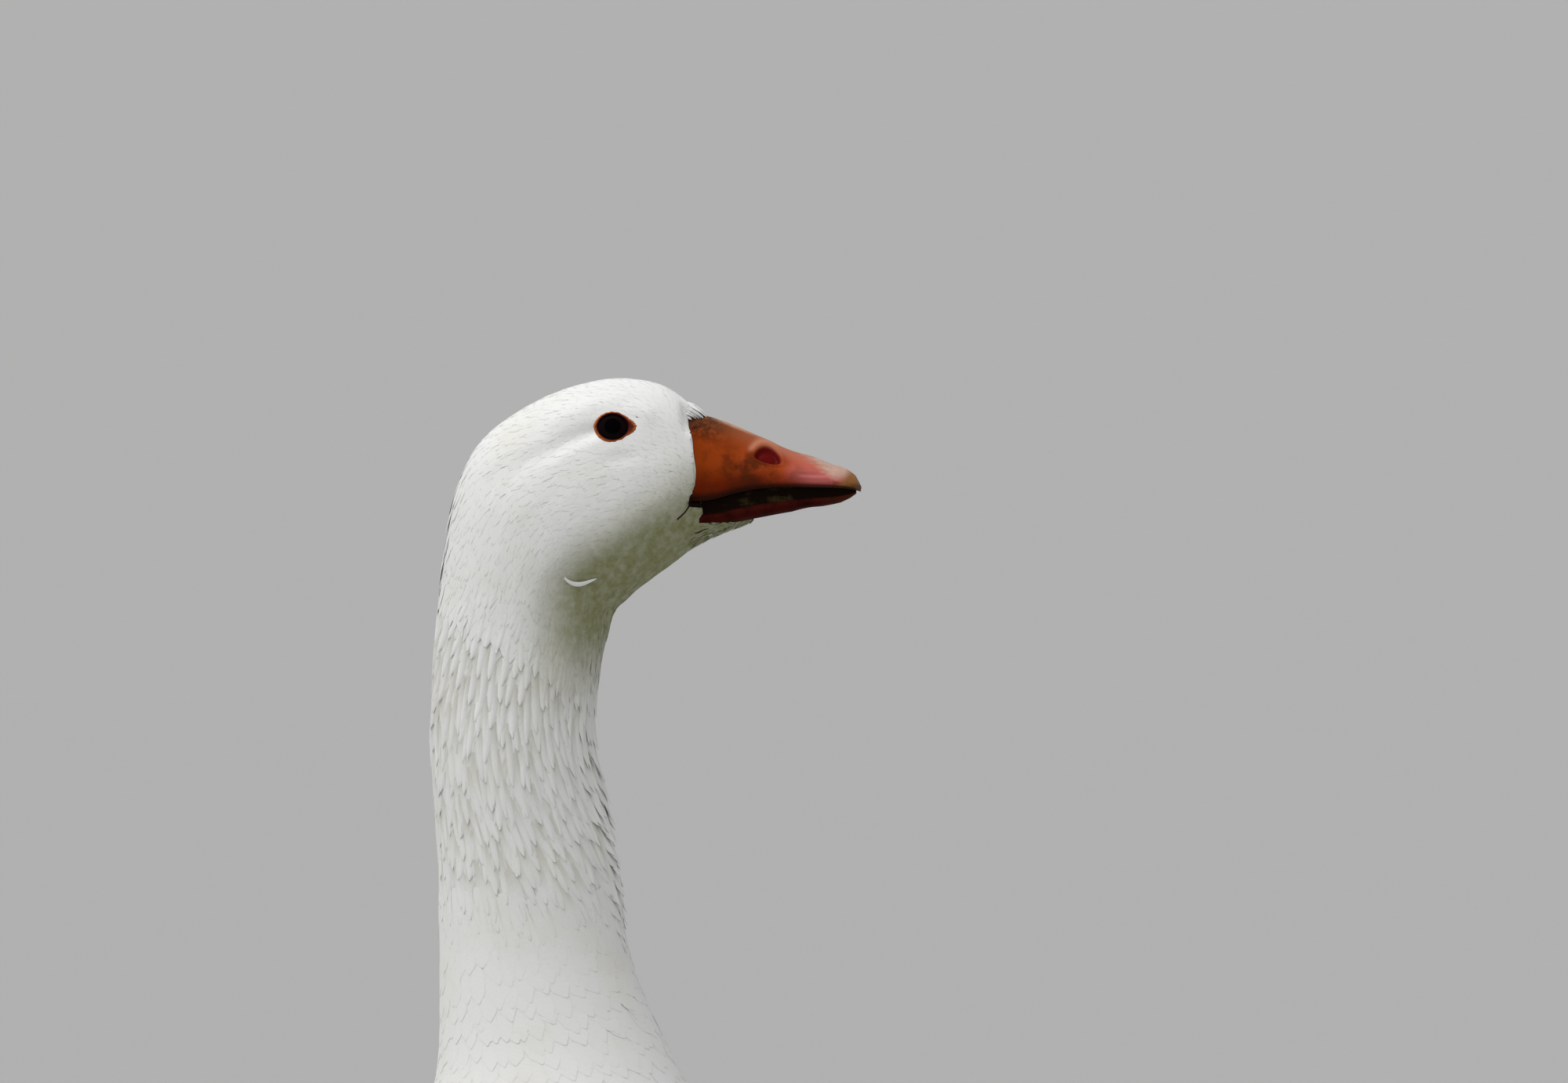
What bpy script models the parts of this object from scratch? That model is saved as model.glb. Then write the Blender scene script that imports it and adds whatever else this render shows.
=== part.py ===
"""A white domestic goose standing still, life size: head, bill, neck, trunk, folded wings, tail and legs.

The bird faces +X, its left side is +Y, and +Z is up. The origin is on the floor, under the bird's middle.
Every soft part is a loft, a row of closed rings joined by quads. The rings of the head, neck and trunk each
run from a point on the back line to a point on the belly line, so the thin cuts between the parts follow the
body's own rings. Sizes here are in millimetres, and the objects are made in metres.
"""

import math
from collections import namedtuple

import bmesh
import bpy
import numpy as np

MM = 0.001
GAP = 0.3  # clear space between two pieces that meet
NECK_X = 172.45  # the neck's axis, forward of the origin

# The body's sections, from the bill's root to the tail's root. Each runs from (back_x, back_z) on the back
# line to (belly_x, belly_z) on the throat, breast or belly line, and half_width is its reach to each side. X
# is from the neck's axis. widest moves the broadest level from mid-height towards the belly line, as a share
# of the half-height.
Section = namedtuple("Section", "back_x back_z belly_x belly_z half_width widest")
SECTIONS = {
    "bill root": Section(61.3, 661.0, 65.5, 616.2, 14.2, 0.06),
    "lores": Section(49.0, 668.4, 55.0, 607.6, 19.2, 0.12),
    "eyes": Section(31.0, 669.8, 45.5, 600.8, 22.6, 0.16),
    "ears": Section(10.0, 663.4, 38.6, 595.0, 24.6, 0.14),
    "nape": Section(-9.6, 650.3, 34.2, 590.4, 25.0, 0.08),
    "hind head": Section(-19.0, 633.0, 32.3, 584.0, 24.8, 0.03),
    "throat": Section(-23.6, 609.5, 30.6, 577.0, 25.0, 0.0),
    "upper neck": Section(-27.2, 578.0, 28.4, 564.0, 26.2, 0.0),
    "mid neck": Section(-28.3, 545.0, 27.2, 543.0, 27.6, 0.0),
    "lower neck": Section(-26.4, 508.0, 34.0, 508.0, 29.0, 0.0),
    "neck root": Section(-25.6, 470.0, 40.4, 470.0, 32.0, 0.0),
    "crop": Section(-26.6, 434.0, 56.0, 434.0, 42.0, 0.0),
    "collar": Section(-33.0, 417.0, 76.0, 398.0, 60.0, 0.0),
    "breast": Section(-48.0, 403.0, 91.0, 352.0, 80.0, 0.0),
    "keel": Section(-74.0, 393.0, 94.0, 300.0, 92.0, 0.0),
    "shoulders": Section(-104.0, 386.5, 80.0, 243.0, 98.0, 0.0),
    "mid back": Section(-135.0, 380.5, 40.0, 186.0, 99.0, 0.02),
    "flanks": Section(-170.0, 371.5, -38.0, 139.0, 99.0, 0.05),
    "belly": Section(-214.0, 357.5, -128.0, 122.0, 99.0, 0.1),
    "paunch": Section(-262.0, 338.0, -204.0, 120.0, 94.0, 0.14),
    "rump": Section(-306.0, 314.0, -272.0, 139.0, 79.0, 0.12),
    "vent": Section(-343.0, 290.0, -326.0, 184.0, 58.0, 0.08),
    "tail root": Section(-370.0, 271.0, -362.0, 224.0, 38.0, 0.04),
}
PLACES = list(SECTIONS)
BODY_SEGMENTS = 28
HEAD_END = PLACES.index("throat") + 0.4
NECK_HALF = PLACES.index("lower neck") - 0.4
NECK_END = PLACES.index("crop") - 0.3
TAIL_START = PLACES.index("tail root")
SLIT = 0.015  # of a section: half a millimetre or less along the neck
TRUNK_RINGS = 24

EYE_CENTRE = (34.6, 14.4, 653.4)
EYE_RADII = (7.3, 5.6, 6.0)

# The bill's sections, from its root to the tip of the nail: ridge height, cutting-edge height, half-width.
BILL_ROOT_X = 61.9
BILL_TIP_X = 118.1
BILL_SHARES = (0.0, 0.1, 0.22, 0.38, 0.55, 0.7, 0.82, 0.91, 0.965, 1.0)
BILL_RIDGE_Z = (659.4, 657.2, 654.5, 650.6, 646.5, 643.8, 641.2, 639.2, 636.9, 633.2)
BILL_EDGE_Z = (629.5, 629.9, 631.8, 633.5, 634.1, 634.0, 633.7, 633.0, 632.3, 631.6)
BILL_HALF_WIDTHS = (13.8, 13.3, 12.5, 11.5, 10.6, 10.0, 9.2, 7.6, 5.4, 1.2)
NAIL_START = 0.82
JAW_SHARES = (0.0, 0.2, 0.4, 0.6, 0.8, 0.93, 1.0)
JAW_FLOOR_Z = (620.3, 620.9, 622.8, 624.8, 626.8, 628.5, 630.3)
JAW_HALF_WIDTHS = (11.8, 11.4, 10.2, 9.0, 7.7, 5.6, 2.2)
JAW_TIP_X = 116.2
NOSTRIL_CENTRE = (86.3, 9.3, 644.6)
NOSTRIL_RADII = (4.8, 3.0, 1.9)
CHIN_X = (66.4, 82.0)
CHIN_DEPTH = 5.0
CHIN_HALF_WIDTHS = (10.0, 3.0)

# A folded wing, from the shoulder to the ends of the tertials, along X: the side view's upper and lower
# edge, and the reach of its outer face to the side, at its broadest and at its upper edge.
WING_X = (31.0, 23.0, 6.0, -22.0, -70.0, -130.0, -190.0, -245.0, -295.0, -335.0, -362.0)
WING_TOP_Z = (338.0, 354.0, 370.0, 380.5, 385.5, 380.0, 367.0, 350.0, 331.0, 315.0, 303.0)
WING_LOW_Z = (328.0, 308.0, 289.0, 269.0, 250.0, 238.0, 235.0, 243.0, 260.0, 280.0, 296.0)
WING_REACH = (70.0, 80.0, 88.0, 97.0, 104.0, 107.5, 105.5, 97.0, 82.0, 63.0, 48.0)
WING_TOP_REACH = (60.0, 57.0, 55.0, 52.0, 46.0, 40.0, 34.0, 26.0, 19.0, 15.0, 14.0)
WING_THICK = 17.0
WING_LIP = 3.4  # least distance, to the side, from the trunk to the wing's outer face
WING_TIP_X = (-296.0, -335.0, -370.0, -400.0, -424.0, -440.0)
WING_TIP_TOP_Z = (313.0, 300.5, 292.0, 286.0, 281.0, 276.0)
WING_TIP_LOW_Z = (283.0, 271.0, 266.5, 265.5, 266.5, 270.5)
WING_TIP_Y = (62.0, 45.0, 31.0, 21.0, 14.0, 10.5)
WING_TIP_THICK = (7.0, 6.5, 5.5, 4.5, 3.2, 1.6)
WING_TIP_SLANT = 0.25  # sideways lean of the blade: its lower edge is further out

TAIL_X = (-371.0, -395.0, -420.0, -440.0, -454.0, -463.0)
TAIL_MID_Z = (250.0, 247.5, 243.0, 239.0, 236.5, 235.0)
TAIL_HALF_HEIGHT = (20.0, 12.5, 7.5, 5.0, 3.2, 1.8)
TAIL_HALF_WIDTH = (36.5, 39.0, 43.5, 46.5, 45.0, 33.0)
TAIL_DROOP = 7.0  # how far the fan's side edges hang at its broadest

# The legs. STRIDE is how far a foot stands ahead of the pair's middle. Feet are measured from their joints.
LEG_SIDES = {"right": -1.0, "left": 1.0}
STRIDE = {"right": 9.0, "left": -9.0}
FOOT_JOINT = (-150.0, 50.0, 15.0)
HOCK = (-172.0, 51.0, 104.0)
HOCK_RISE = 10.0  # from the hock's middle to the lowest feathers
THIGH_TOP = (-128.0, 54.0, 186.0)
THIGH_RADII = ((40.0, 30.0), (38.0, 29.0), (32.0, 26.0), (21.0, 18.0), (12.0, 11.0))
SHANK_SHARES = (0.0, 0.08, 0.18, 0.35, 0.6, 0.8, 0.92, 1.0)
SHANK_RADII = (
    (9.6, 8.6), (10.2, 9.0), (8.4, 7.2), (6.6, 5.3), (6.2, 5.0), (6.8, 5.8), (8.2, 7.8), (7.8, 7.6),
)
TOE_NAMES = ("inner", "middle", "outer")
TOE_ANGLES = (-25.0, 2.0, 28.0)  # outwards of straight ahead, in degrees
TOE_LENGTHS = (66.0, 83.0, 76.0)
TOE_HALF_WIDTH = 4.6
TOE_END_ANGLE = 4.0  # half the angle that a toe's blunt end takes, seen from the foot joint
TOE_HEIGHTS = (13.0, 6.6)  # at the foot joint and at the claw
TOE_END_HEIGHT = 3.0
HUB_RADII = (7.0, 19.0)  # the foot's thick middle: its flat top, and where it has sunk to the web
HEEL_RADIUS = 10.5
HEEL_BACK = 9.0
WEB_THICK = 1.6
WEB_DIP = 0.17  # how far the web's edge falls back between two toes, as a share of the toes' length
CLAW_LENGTH = 9.5
CLAW_RADIUS = 2.7
HIND_TOE_START = (-9.4, -2.0, 10.5)
HIND_TOE_RUN = (-17.0, -3.0, -5.5)
HIND_TOE_RADII = ((4.0, 3.6), (4.1, 3.7), (3.7, 3.3), (2.2, 2.0))
HIND_CLAW_RUN = (-5.6, -0.8, -2.4)
HIND_CLAW_RADII = ((1.7, 1.5), (1.2, 1.1), (0.35, 0.35))


# ------------------------------------------------------------------------------------------ scene and looks


def clear_scene():
    """Removes whatever objects the file holds."""
    for old in list(bpy.data.objects):
        bpy.data.objects.remove(old, do_unlink=True)


def make_collection(name):
    collection = bpy.data.collections.new(name)
    bpy.context.scene.collection.children.link(collection)
    return collection


def make_material(name, colour, roughness):
    """A plain Principled material of one colour."""
    material = bpy.data.materials.new(name)
    material.use_nodes = True
    shader = material.node_tree.nodes["Principled BSDF"]
    shader.inputs["Base Color"].default_value = (*colour, 1.0)
    shader.inputs["Roughness"].default_value = roughness
    shader.inputs["Metallic"].default_value = 0.0
    material.diffuse_color = (*colour, 1.0)
    return material


clear_scene()
GOOSE = make_collection("domestic_goose")
CUTTERS = make_collection("cutters")
PLUMAGE = make_material("white_plumage", (0.82, 0.82, 0.79), 0.75)
QUILLS = make_material("flight_feathers", (0.80, 0.78, 0.70), 0.6)
HORN = make_material("orange_bill", (0.42, 0.10, 0.02), 0.4)
NAIL = make_material("pale_nail", (0.42, 0.26, 0.18), 0.4)
EYE = make_material("dark_eye", (0.012, 0.008, 0.008), 0.08)
LEG = make_material("orange_leg", (0.62, 0.20, 0.03), 0.5)
CLAW = make_material("horn_claw", (0.28, 0.20, 0.14), 0.45)


# ------------------------------------------------------------------------------------------------- geometry


def smooth(rows, at):
    """Reads a smooth curve through the rows at the row numbers in at. Between two rows it is a cubic whose
    slopes are the rows' central differences."""
    values = np.asarray(rows, float).reshape(len(rows), -1)
    at = np.clip(np.asarray(at, float), 0.0, len(values) - 1.0)
    low = np.minimum(at.astype(int), len(values) - 2)
    share = (at - low)[:, None]
    slope = np.gradient(values, axis=0)
    start, end = values[low], values[low + 1]
    cubic = 2 * share**3 - 3 * share**2
    return (
        start * (1 + cubic)
        - end * cubic
        + slope[low] * (share**3 - 2 * share**2 + share)
        + slope[low + 1] * (share**3 - share**2)
    )


def body_rings(start, end, rings, segments=BODY_SEGMENTS, grow=0.0):
    """Rings of the body between two row numbers of SECTIONS, in mm, as an array of rings by points by X, Y
    and Z. grow pushes every ring out by that much."""
    rows = smooth(list(SECTIONS.values()), np.linspace(start, end, rings))
    back, belly = rows[:, 0:2], rows[:, 2:4]
    half = (back - belly) / 2.0
    length = np.linalg.norm(half, axis=1, keepdims=True)
    half = half * (1.0 + grow / length)
    angle = np.linspace(0.0, 2.0 * math.pi, segments, endpoint=False)
    upward = np.cos(angle)[None, :] - rows[:, 5:6] * np.sin(angle)[None, :] ** 2
    centre = (back + belly) / 2.0
    x = centre[:, 0:1] + half[:, 0:1] * upward
    z = centre[:, 1:2] + half[:, 1:2] * upward
    y = (rows[:, 4:5] + grow) * np.sin(angle)[None, :]
    return np.stack([x, y, z], axis=2)


def link(mesh, name, material, collection=None):
    """An object of that mesh, smooth shaded, in the goose's collection or in the one given."""
    mesh.shade_smooth()
    mesh.set_sharp_from_angle(angle=math.radians(50.0))
    mesh.materials.append(material)
    made = bpy.data.objects.new(name, mesh)
    (collection or GOOSE).objects.link(made)
    return made


def loft(name, rings, material, collection=None):
    """A closed solid over rings of equal numbers of points, in mm from the neck's axis, with a cap at each
    end."""
    rings = np.asarray(rings, float)
    count, segments = rings.shape[:2]
    points = (rings + np.array([NECK_X, 0.0, 0.0])) * MM
    shape = bmesh.new()
    rows = [[shape.verts.new(point) for point in ring] for ring in points]
    for ring in range(count - 1):
        for i in range(segments):
            j = (i + 1) % segments
            shape.faces.new((rows[ring][i], rows[ring][j], rows[ring + 1][j], rows[ring + 1][i]))
    shape.faces.new(rows[0])
    shape.faces.new(rows[-1])
    bmesh.ops.recalc_face_normals(shape, faces=shape.faces)
    mesh = bpy.data.meshes.new(name)
    shape.to_mesh(mesh)
    shape.free()
    return link(mesh, name, material, collection)


def ball(name, centre, radii, material, segments=20, collection=None):
    """An ellipsoid in mm from the neck's axis, from Blender's UV sphere."""
    shape = bmesh.new()
    bmesh.ops.create_uvsphere(shape, u_segments=segments, v_segments=segments // 2, radius=MM)
    bmesh.ops.scale(shape, vec=radii, verts=shape.verts)
    place = (np.asarray(centre, float) + np.array([NECK_X, 0.0, 0.0])) * MM
    bmesh.ops.translate(shape, vec=place, verts=shape.verts)
    mesh = bpy.data.meshes.new(name)
    shape.to_mesh(mesh)
    shape.free()
    return link(mesh, name, material, collection)


def cut(piece, cutter, solver="EXACT"):
    """Subtracts the cutter from the piece, and keeps the cutter as a wire helper."""
    modifier = piece.modifiers.new("cut_" + cutter.name, "BOOLEAN")
    modifier.operation = "DIFFERENCE"
    modifier.object = cutter
    modifier.solver = solver
    cutter.hide_render = True
    cutter.display_type = "WIRE"


def mirrored(rings, side):
    """The same rings on the side given: +1 is the bird's left."""
    return np.asarray(rings, float) * np.array([1.0, side, 1.0])


def grown(radii, by):
    return tuple(radius + by for radius in radii)


def tube_rings(centres, radii, segments, along):
    """Elliptic rings square to the direction along. radii are fore-and-aft by sideways, a pair for each
    ring."""
    along = np.asarray(along, float) / np.linalg.norm(along)
    sideways = np.array([0.0, 1.0, 0.0])
    forward = np.cross(sideways, along)
    forward /= np.linalg.norm(forward)
    angle = np.linspace(0.0, 2.0 * math.pi, segments, endpoint=False)
    centres, radii = np.asarray(centres, float), np.asarray(radii, float)
    return (
        centres[:, None, :]
        + radii[:, 0, None, None] * np.cos(angle)[None, :, None] * forward
        + radii[:, 1, None, None] * np.sin(angle)[None, :, None] * sideways
    )


def upright_rings(x, y, z, half_width, half_height, segments):
    """Elliptic rings in planes square to X, one for each row of sizes."""
    x, y, z, wide, high = (np.reshape(size, (-1, 1)) for size in (x, y, z, half_width, half_height))
    angle = np.linspace(0.0, 2.0 * math.pi, segments, endpoint=False)
    across, up = y + wide * np.cos(angle), z + high * np.sin(angle)
    return np.stack([np.repeat(x, segments, axis=1), across, up], axis=2)


# ------------------------------------------------------------------------------ head, neck, trunk and tail


def build_body():
    """Head, two lengths of neck and the trunk, cut apart between their rings."""
    head = loft("head", body_rings(0.0, HEAD_END, 16), PLUMAGE)
    loft("neck_upper", body_rings(HEAD_END + 2.0 * SLIT, NECK_HALF, 6), PLUMAGE)
    loft("neck_lower", body_rings(NECK_HALF + SLIT, NECK_END, 5), PLUMAGE)
    loft("trunk", body_rings(NECK_END + SLIT, TAIL_START, TRUNK_RINGS), PLUMAGE)
    return head


def build_eyes(head):
    """Both eyes, each in a socket of its own shape."""
    for name, side in LEG_SIDES.items():
        centre = (EYE_CENTRE[0], EYE_CENTRE[1] * side, EYE_CENTRE[2])
        socket = ball("socket_" + name, centre, grown(EYE_RADII, GAP), HORN, 20, CUTTERS)
        cut(head, socket)
        ball("eye_" + name, centre, EYE_RADII, EYE, 16)


def build_tail():
    """The closed tail feathers and their coverts: a flat fan with a rounded end, leaning at its root as the
    rump does."""
    at = np.linspace(0.0, len(TAIL_X) - 1.0, 8)
    sizes = [smooth(row, at) for row in (TAIL_X, TAIL_MID_Z, TAIL_HALF_WIDTH, TAIL_HALF_HEIGHT)]
    rings = upright_rings(sizes[0], 0.0, *sizes[1:], 20)
    share = np.linspace(0.0, 1.0, len(at))[:, None]
    rings[:, :, 2] -= TAIL_DROOP * share * (rings[:, :, 1] / max(TAIL_HALF_WIDTH)) ** 2
    root = SECTIONS["tail root"]
    lean = (root.belly_x - root.back_x) / (root.back_z - root.belly_z)
    rings[:, :, 0] += (root.back_z - rings[:, :, 2]) * lean * np.maximum(0.0, 1.0 - 4.0 * share)
    loft("tail", rings, QUILLS)


# ----------------------------------------------------------------------------------------------------- bill


def bill_ring(x, ridge, edge, half_width, narrowing, segments=20):
    """A section of the bill at x, between its broad cutting edge and its ridge, which lies above the edge in
    the upper bill and below it in the lower. narrowing is how much slimmer the ridge is than the edge."""
    angle = np.linspace(0.0, 2.0 * math.pi, segments, endpoint=False)
    sine, cosine = np.sin(angle), np.cos(angle)
    toward_ridge = (np.sign(sine) * np.abs(sine) ** 0.8 + 1.0) / 2.0
    y = half_width * np.sign(cosine) * np.abs(cosine) ** 0.7 * (1.0 - narrowing * toward_ridge**1.6)
    return np.stack([np.full(segments, x), y, edge + (ridge - edge) * toward_ridge], axis=1)


def bill_row(row, share):
    """One of the bill's rows of sizes, read at shares of its length."""
    return smooth(row, np.interp(share, BILL_SHARES, range(len(BILL_SHARES))))[:, 0]


def upper_bill_rings(start, end, rings):
    """Rings of the upper bill between two shares of its length."""
    shares = np.linspace(start, end, rings)
    sizes = [bill_row(row, shares) for row in (BILL_RIDGE_Z, BILL_EDGE_Z, BILL_HALF_WIDTHS)]
    x = BILL_ROOT_X + (BILL_TIP_X - BILL_ROOT_X) * shares
    return np.array([bill_ring(*row, 0.42) for row in zip(x, *sizes)])


def jaw_rings(rings):
    """Rings of the lower bill, from its root to its tip."""
    at = np.linspace(0.0, len(JAW_SHARES) - 1.0, rings)
    floor, wide = smooth(JAW_FLOOR_Z, at)[:, 0], smooth(JAW_HALF_WIDTHS, at)[:, 0]
    x = BILL_ROOT_X + (JAW_TIP_X - BILL_ROOT_X) * np.interp(at, range(len(JAW_SHARES)), JAW_SHARES)
    edge = bill_row(BILL_EDGE_Z, (x - BILL_ROOT_X) / (BILL_TIP_X - BILL_ROOT_X)) - GAP
    return np.array([bill_ring(*row, 0.35) for row in zip(x, floor, edge, wide)])


def lean_to_root(rings):
    """Leans the rings near the root so that the bill's back face is parallel to the head's front face."""
    front = SECTIONS["bill root"]
    slope = (front.belly_x - front.back_x) / (front.back_z - front.belly_z)
    hold = np.maximum(0.0, 1.0 - 3.5 * np.linspace(0.0, 1.0, len(rings)))[:, None]
    rings[:, :, 0] += (front.back_z - rings[:, :, 2]) * slope * hold
    return rings


def chin_rings(rings):
    """Rings of the feathered chin, which tapers forward under the lower bill."""
    share = np.linspace(0.0, 1.0, rings)
    x = CHIN_X[0] + (CHIN_X[1] - CHIN_X[0]) * share
    jaw_x = BILL_ROOT_X + (JAW_TIP_X - BILL_ROOT_X) * np.array(JAW_SHARES)
    top = np.interp(x, jaw_x, JAW_FLOOR_Z) - 2.0 * GAP
    low = top - CHIN_DEPTH * (1.0 - share) ** 0.8 - 0.5
    half_width = CHIN_HALF_WIDTHS[0] + (CHIN_HALF_WIDTHS[1] - CHIN_HALF_WIDTHS[0]) * share
    return upright_rings(x, 0.0, (top + low) / 2.0, half_width, (top - low) / 2.0, 14)


def build_bill():
    """Upper bill with its nail and nostrils, lower bill, and the feathered chin between the jaws."""
    upper = loft("bill_upper", lean_to_root(upper_bill_rings(0.0, NAIL_START, 10)), HORN)
    nail_start = NAIL_START + GAP / (BILL_TIP_X - BILL_ROOT_X)
    loft("bill_nail", upper_bill_rings(nail_start, 1.0, 6), NAIL)
    for name, side in LEG_SIDES.items():
        centre = (NOSTRIL_CENTRE[0], NOSTRIL_CENTRE[1] * side, NOSTRIL_CENTRE[2])
        cut(upper, ball("nostril_" + name, centre, NOSTRIL_RADII, HORN, 12, CUTTERS))
    loft("bill_lower", lean_to_root(jaw_rings(9)), HORN)
    loft("chin", chin_rings(5), PLUMAGE)


# ---------------------------------------------------------------------------------------------------- wings


def trunk_reach(x, z):
    """The trunk's half-width at points of the side view, and 0 outside its outline. A section shows in the
    side view as a straight line from back to belly, so each point is read on the section whose line passes
    through it."""
    at = np.linspace(NECK_END, TAIL_START, 300)
    rows = smooth(list(SECTIONS.values()), at)
    back, along = rows[:, 0:2], rows[:, 2:4] - rows[:, 0:2]
    away = np.stack([x, z], axis=-1)[..., None, :] - back
    length = np.linalg.norm(along, axis=1)
    share = (away * along).sum(axis=-1) / length**2
    aside = np.abs(away[..., 0] * along[:, 1] - away[..., 1] * along[:, 0]) / length
    aside[(share < 0.0) | (share > 1.0)] = np.inf
    nearest = np.argmin(aside, axis=-1)
    upward = 1.0 - 2.0 * np.take_along_axis(share, nearest[..., None], axis=-1)[..., 0]
    shift = rows[nearest, 5] + 1e-9
    cosine = (np.sqrt(1.0 + 4.0 * shift * (shift + upward)) - 1.0) / (2.0 * shift)
    reach = rows[nearest, 4] * np.sqrt(np.maximum(0.0, 1.0 - cosine**2))
    return np.where(np.min(aside, axis=-1) < 2.0, reach, 0.0)


def wing_rings():
    """Rings of the left folded wing: an outer arc over the flank and the same arc further in, joined along
    the wing's upper and lower edges."""
    at = np.linspace(0.0, len(WING_X) - 1.0, 13)
    rows = (WING_X, WING_TOP_Z, WING_LOW_Z, WING_REACH, WING_TOP_REACH)
    x, top, low, reach, top_reach = (smooth(row, at) for row in rows)
    across = np.linspace(0.0, 1.0, 7)[None, :]
    z = top + (low - top) * across
    x = np.repeat(x, len(across[0]), axis=1)
    swell = np.sin(math.pi / 2.0 * np.minimum(across / 0.62, 1.0)) ** 0.9
    tuck = 5.0 * np.maximum(across - 0.7, 0.0) / 0.3
    y = np.maximum(top_reach + (reach - top_reach) * swell - tuck, trunk_reach(x, z) + WING_LIP)
    thick = WING_THICK * (0.12 + 0.88 * np.sin(math.pi * across) ** 0.6) * np.ones_like(z)
    thick[[0, -1]] *= 0.35
    outer = np.stack([x, y, z], axis=2)
    inner = np.stack([x, y - thick, z - 0.35 * thick * (1.0 - across)], axis=2)
    return np.concatenate([outer, inner[:, ::-1]], axis=1)


def wing_tip_rings(grow=0.0):
    """Rings of the left folded primaries: a blade that leaves from under the tertials and narrows to its
    point. grow pushes its faces out by that much."""
    at = np.linspace(0.0, len(WING_TIP_X) - 1.0, 8)
    rows = (WING_TIP_X, WING_TIP_TOP_Z, WING_TIP_LOW_Z, WING_TIP_Y, WING_TIP_THICK)
    x, top, low, y, thick = (smooth(row, at) for row in rows)
    middle = (top + low) / 2.0
    rings = upright_rings(x, y, middle, thick / 2.0 + grow, (top - low) / 2.0 + grow, 12)
    rings[:, :, 1] -= WING_TIP_SLANT * (rings[:, :, 2] - middle)
    return rings


def body_cutter(name, grow):
    """A grown copy of the trunk for fitting what lies on it."""
    rings = body_rings(NECK_END + SLIT, TAIL_START, TRUNK_RINGS, grow=grow)
    return loft(name, rings, PLUMAGE, CUTTERS)


def build_wings(trunk_cutter):
    for name, side in LEG_SIDES.items():
        tip = loft("wing_tip_" + name, mirrored(wing_tip_rings(), side), QUILLS)
        wing = loft("wing_" + name, mirrored(wing_rings(), side), PLUMAGE)
        cut(wing, trunk_cutter, "MANIFOLD")  # the exact solver turns the left wing inside out
        cut(tip, trunk_cutter)
        tip_room = loft("tip_room_" + name, mirrored(wing_tip_rings(2.0 * GAP), side), QUILLS, CUTTERS)
        cut(wing, tip_room, "MANIFOLD")


# ----------------------------------------------------------------------------------------------------- legs


def foot_height(radius, turn):
    """Height of the foot's upper face at a distance from the foot joint and an angle from straight ahead, in
    degrees: the web, with a rounded ridge over each toe and a thick middle under the shank."""
    share = radius / max(TOE_LENGTHS)
    toe_height = TOE_HEIGHTS[0] + (TOE_HEIGHTS[1] - TOE_HEIGHTS[0]) * share
    sunk = np.clip((radius - HUB_RADII[0]) / (HUB_RADII[1] - HUB_RADII[0]), 0.0, 1.0)
    height = WEB_THICK + (FOOT_JOINT[2] - WEB_THICK) * np.sqrt(1.0 - sunk**2)
    for toe_angle in TOE_ANGLES:
        aside = np.sin(np.radians(turn - toe_angle)) * radius / TOE_HALF_WIDTH
        ahead = np.abs(turn - toe_angle) < 90.0
        ridge = (toe_height - WEB_THICK) * np.sqrt(np.maximum(0.0, 1.0 - aside**2)) * ahead
        height = np.maximum(height, WEB_THICK + ridge)
    return height


def foot_reach(turn):
    """How far the foot reaches from its joint at an angle in degrees: to the toes' ends, less along the
    hollow edges of the web, along the sides of the outermost toes, and to the heel behind."""
    ends = [toe_angle + side * TOE_END_ANGLE for toe_angle in TOE_ANGLES for side in (-1.0, 1.0)]
    length = np.interp(turn, ends, np.repeat(TOE_LENGTHS, 2))
    nearest = np.min([np.abs(turn - toe_angle) for toe_angle in TOE_ANGLES], axis=0)
    hollow = np.clip((nearest - TOE_END_ANGLE) / 8.0, 0.0, 1.0)
    web = length * (1.0 - WEB_DIP * np.sin(hollow * math.pi / 2.0))
    beyond = np.maximum(ends[0] - turn, turn - ends[-1])
    side_width = length * math.sin(math.radians(TOE_END_ANGLE))
    side = side_width / np.sin(np.radians(np.clip(beyond + TOE_END_ANGLE, TOE_END_ANGLE, 90.0)))
    heel = np.minimum(HEEL_RADIUS, HEEL_BACK / np.maximum(-np.cos(np.radians(turn)), 1e-3))
    return np.maximum(np.where(beyond > 0.0, side, web), heel)


def foot_rings():
    """The left foot about its joint: rings of one outline at growing shares of its reach, from the flat top
    under the shank out to the rim, and then the sole."""
    toes, half = np.array(TOE_ANGLES), TOE_END_ANGLE
    gaps = zip(toes, toes[1:])
    webs = [low + (high - low) * share for low, high in gaps for share in (0.27, 0.42, 0.58, 0.73)]
    across = [toe + part * half for toe in toes for part in (-1.0, -0.45, 0.45, 1.0)]
    sides = [toes[0] - half - turn for turn in (2.5, 8.0, 18.0, 34.0, 60.0)]
    sides += [toes[-1] + half + turn for turn in (2.5, 8.0, 18.0, 34.0, 60.0)]
    turn = np.array(sorted(webs + across + sides + [-145.0, -115.0, 120.0, 145.0, 180.0]))
    reach, spread = foot_reach(turn), np.radians(turn)
    rings = []
    for share in (0.09, 0.18, 0.34, 0.56, 0.8, 0.96, 1.0):
        radius = np.maximum(reach * share, np.minimum(HUB_RADII[0], reach) * (0.7 + 0.3 * share))
        height = foot_height(radius, turn)
        if share == 1.0:
            height = np.where(reach > 2.0 * HEEL_RADIUS, np.minimum(height, TOE_END_HEIGHT), 0.8 * height)
        rings.append(np.stack([radius * np.cos(spread), radius * np.sin(spread), height], axis=1))
    rings.append(rings[-1] * np.array([1.0, 1.0, 0.0]))
    return np.array(rings)


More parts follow.
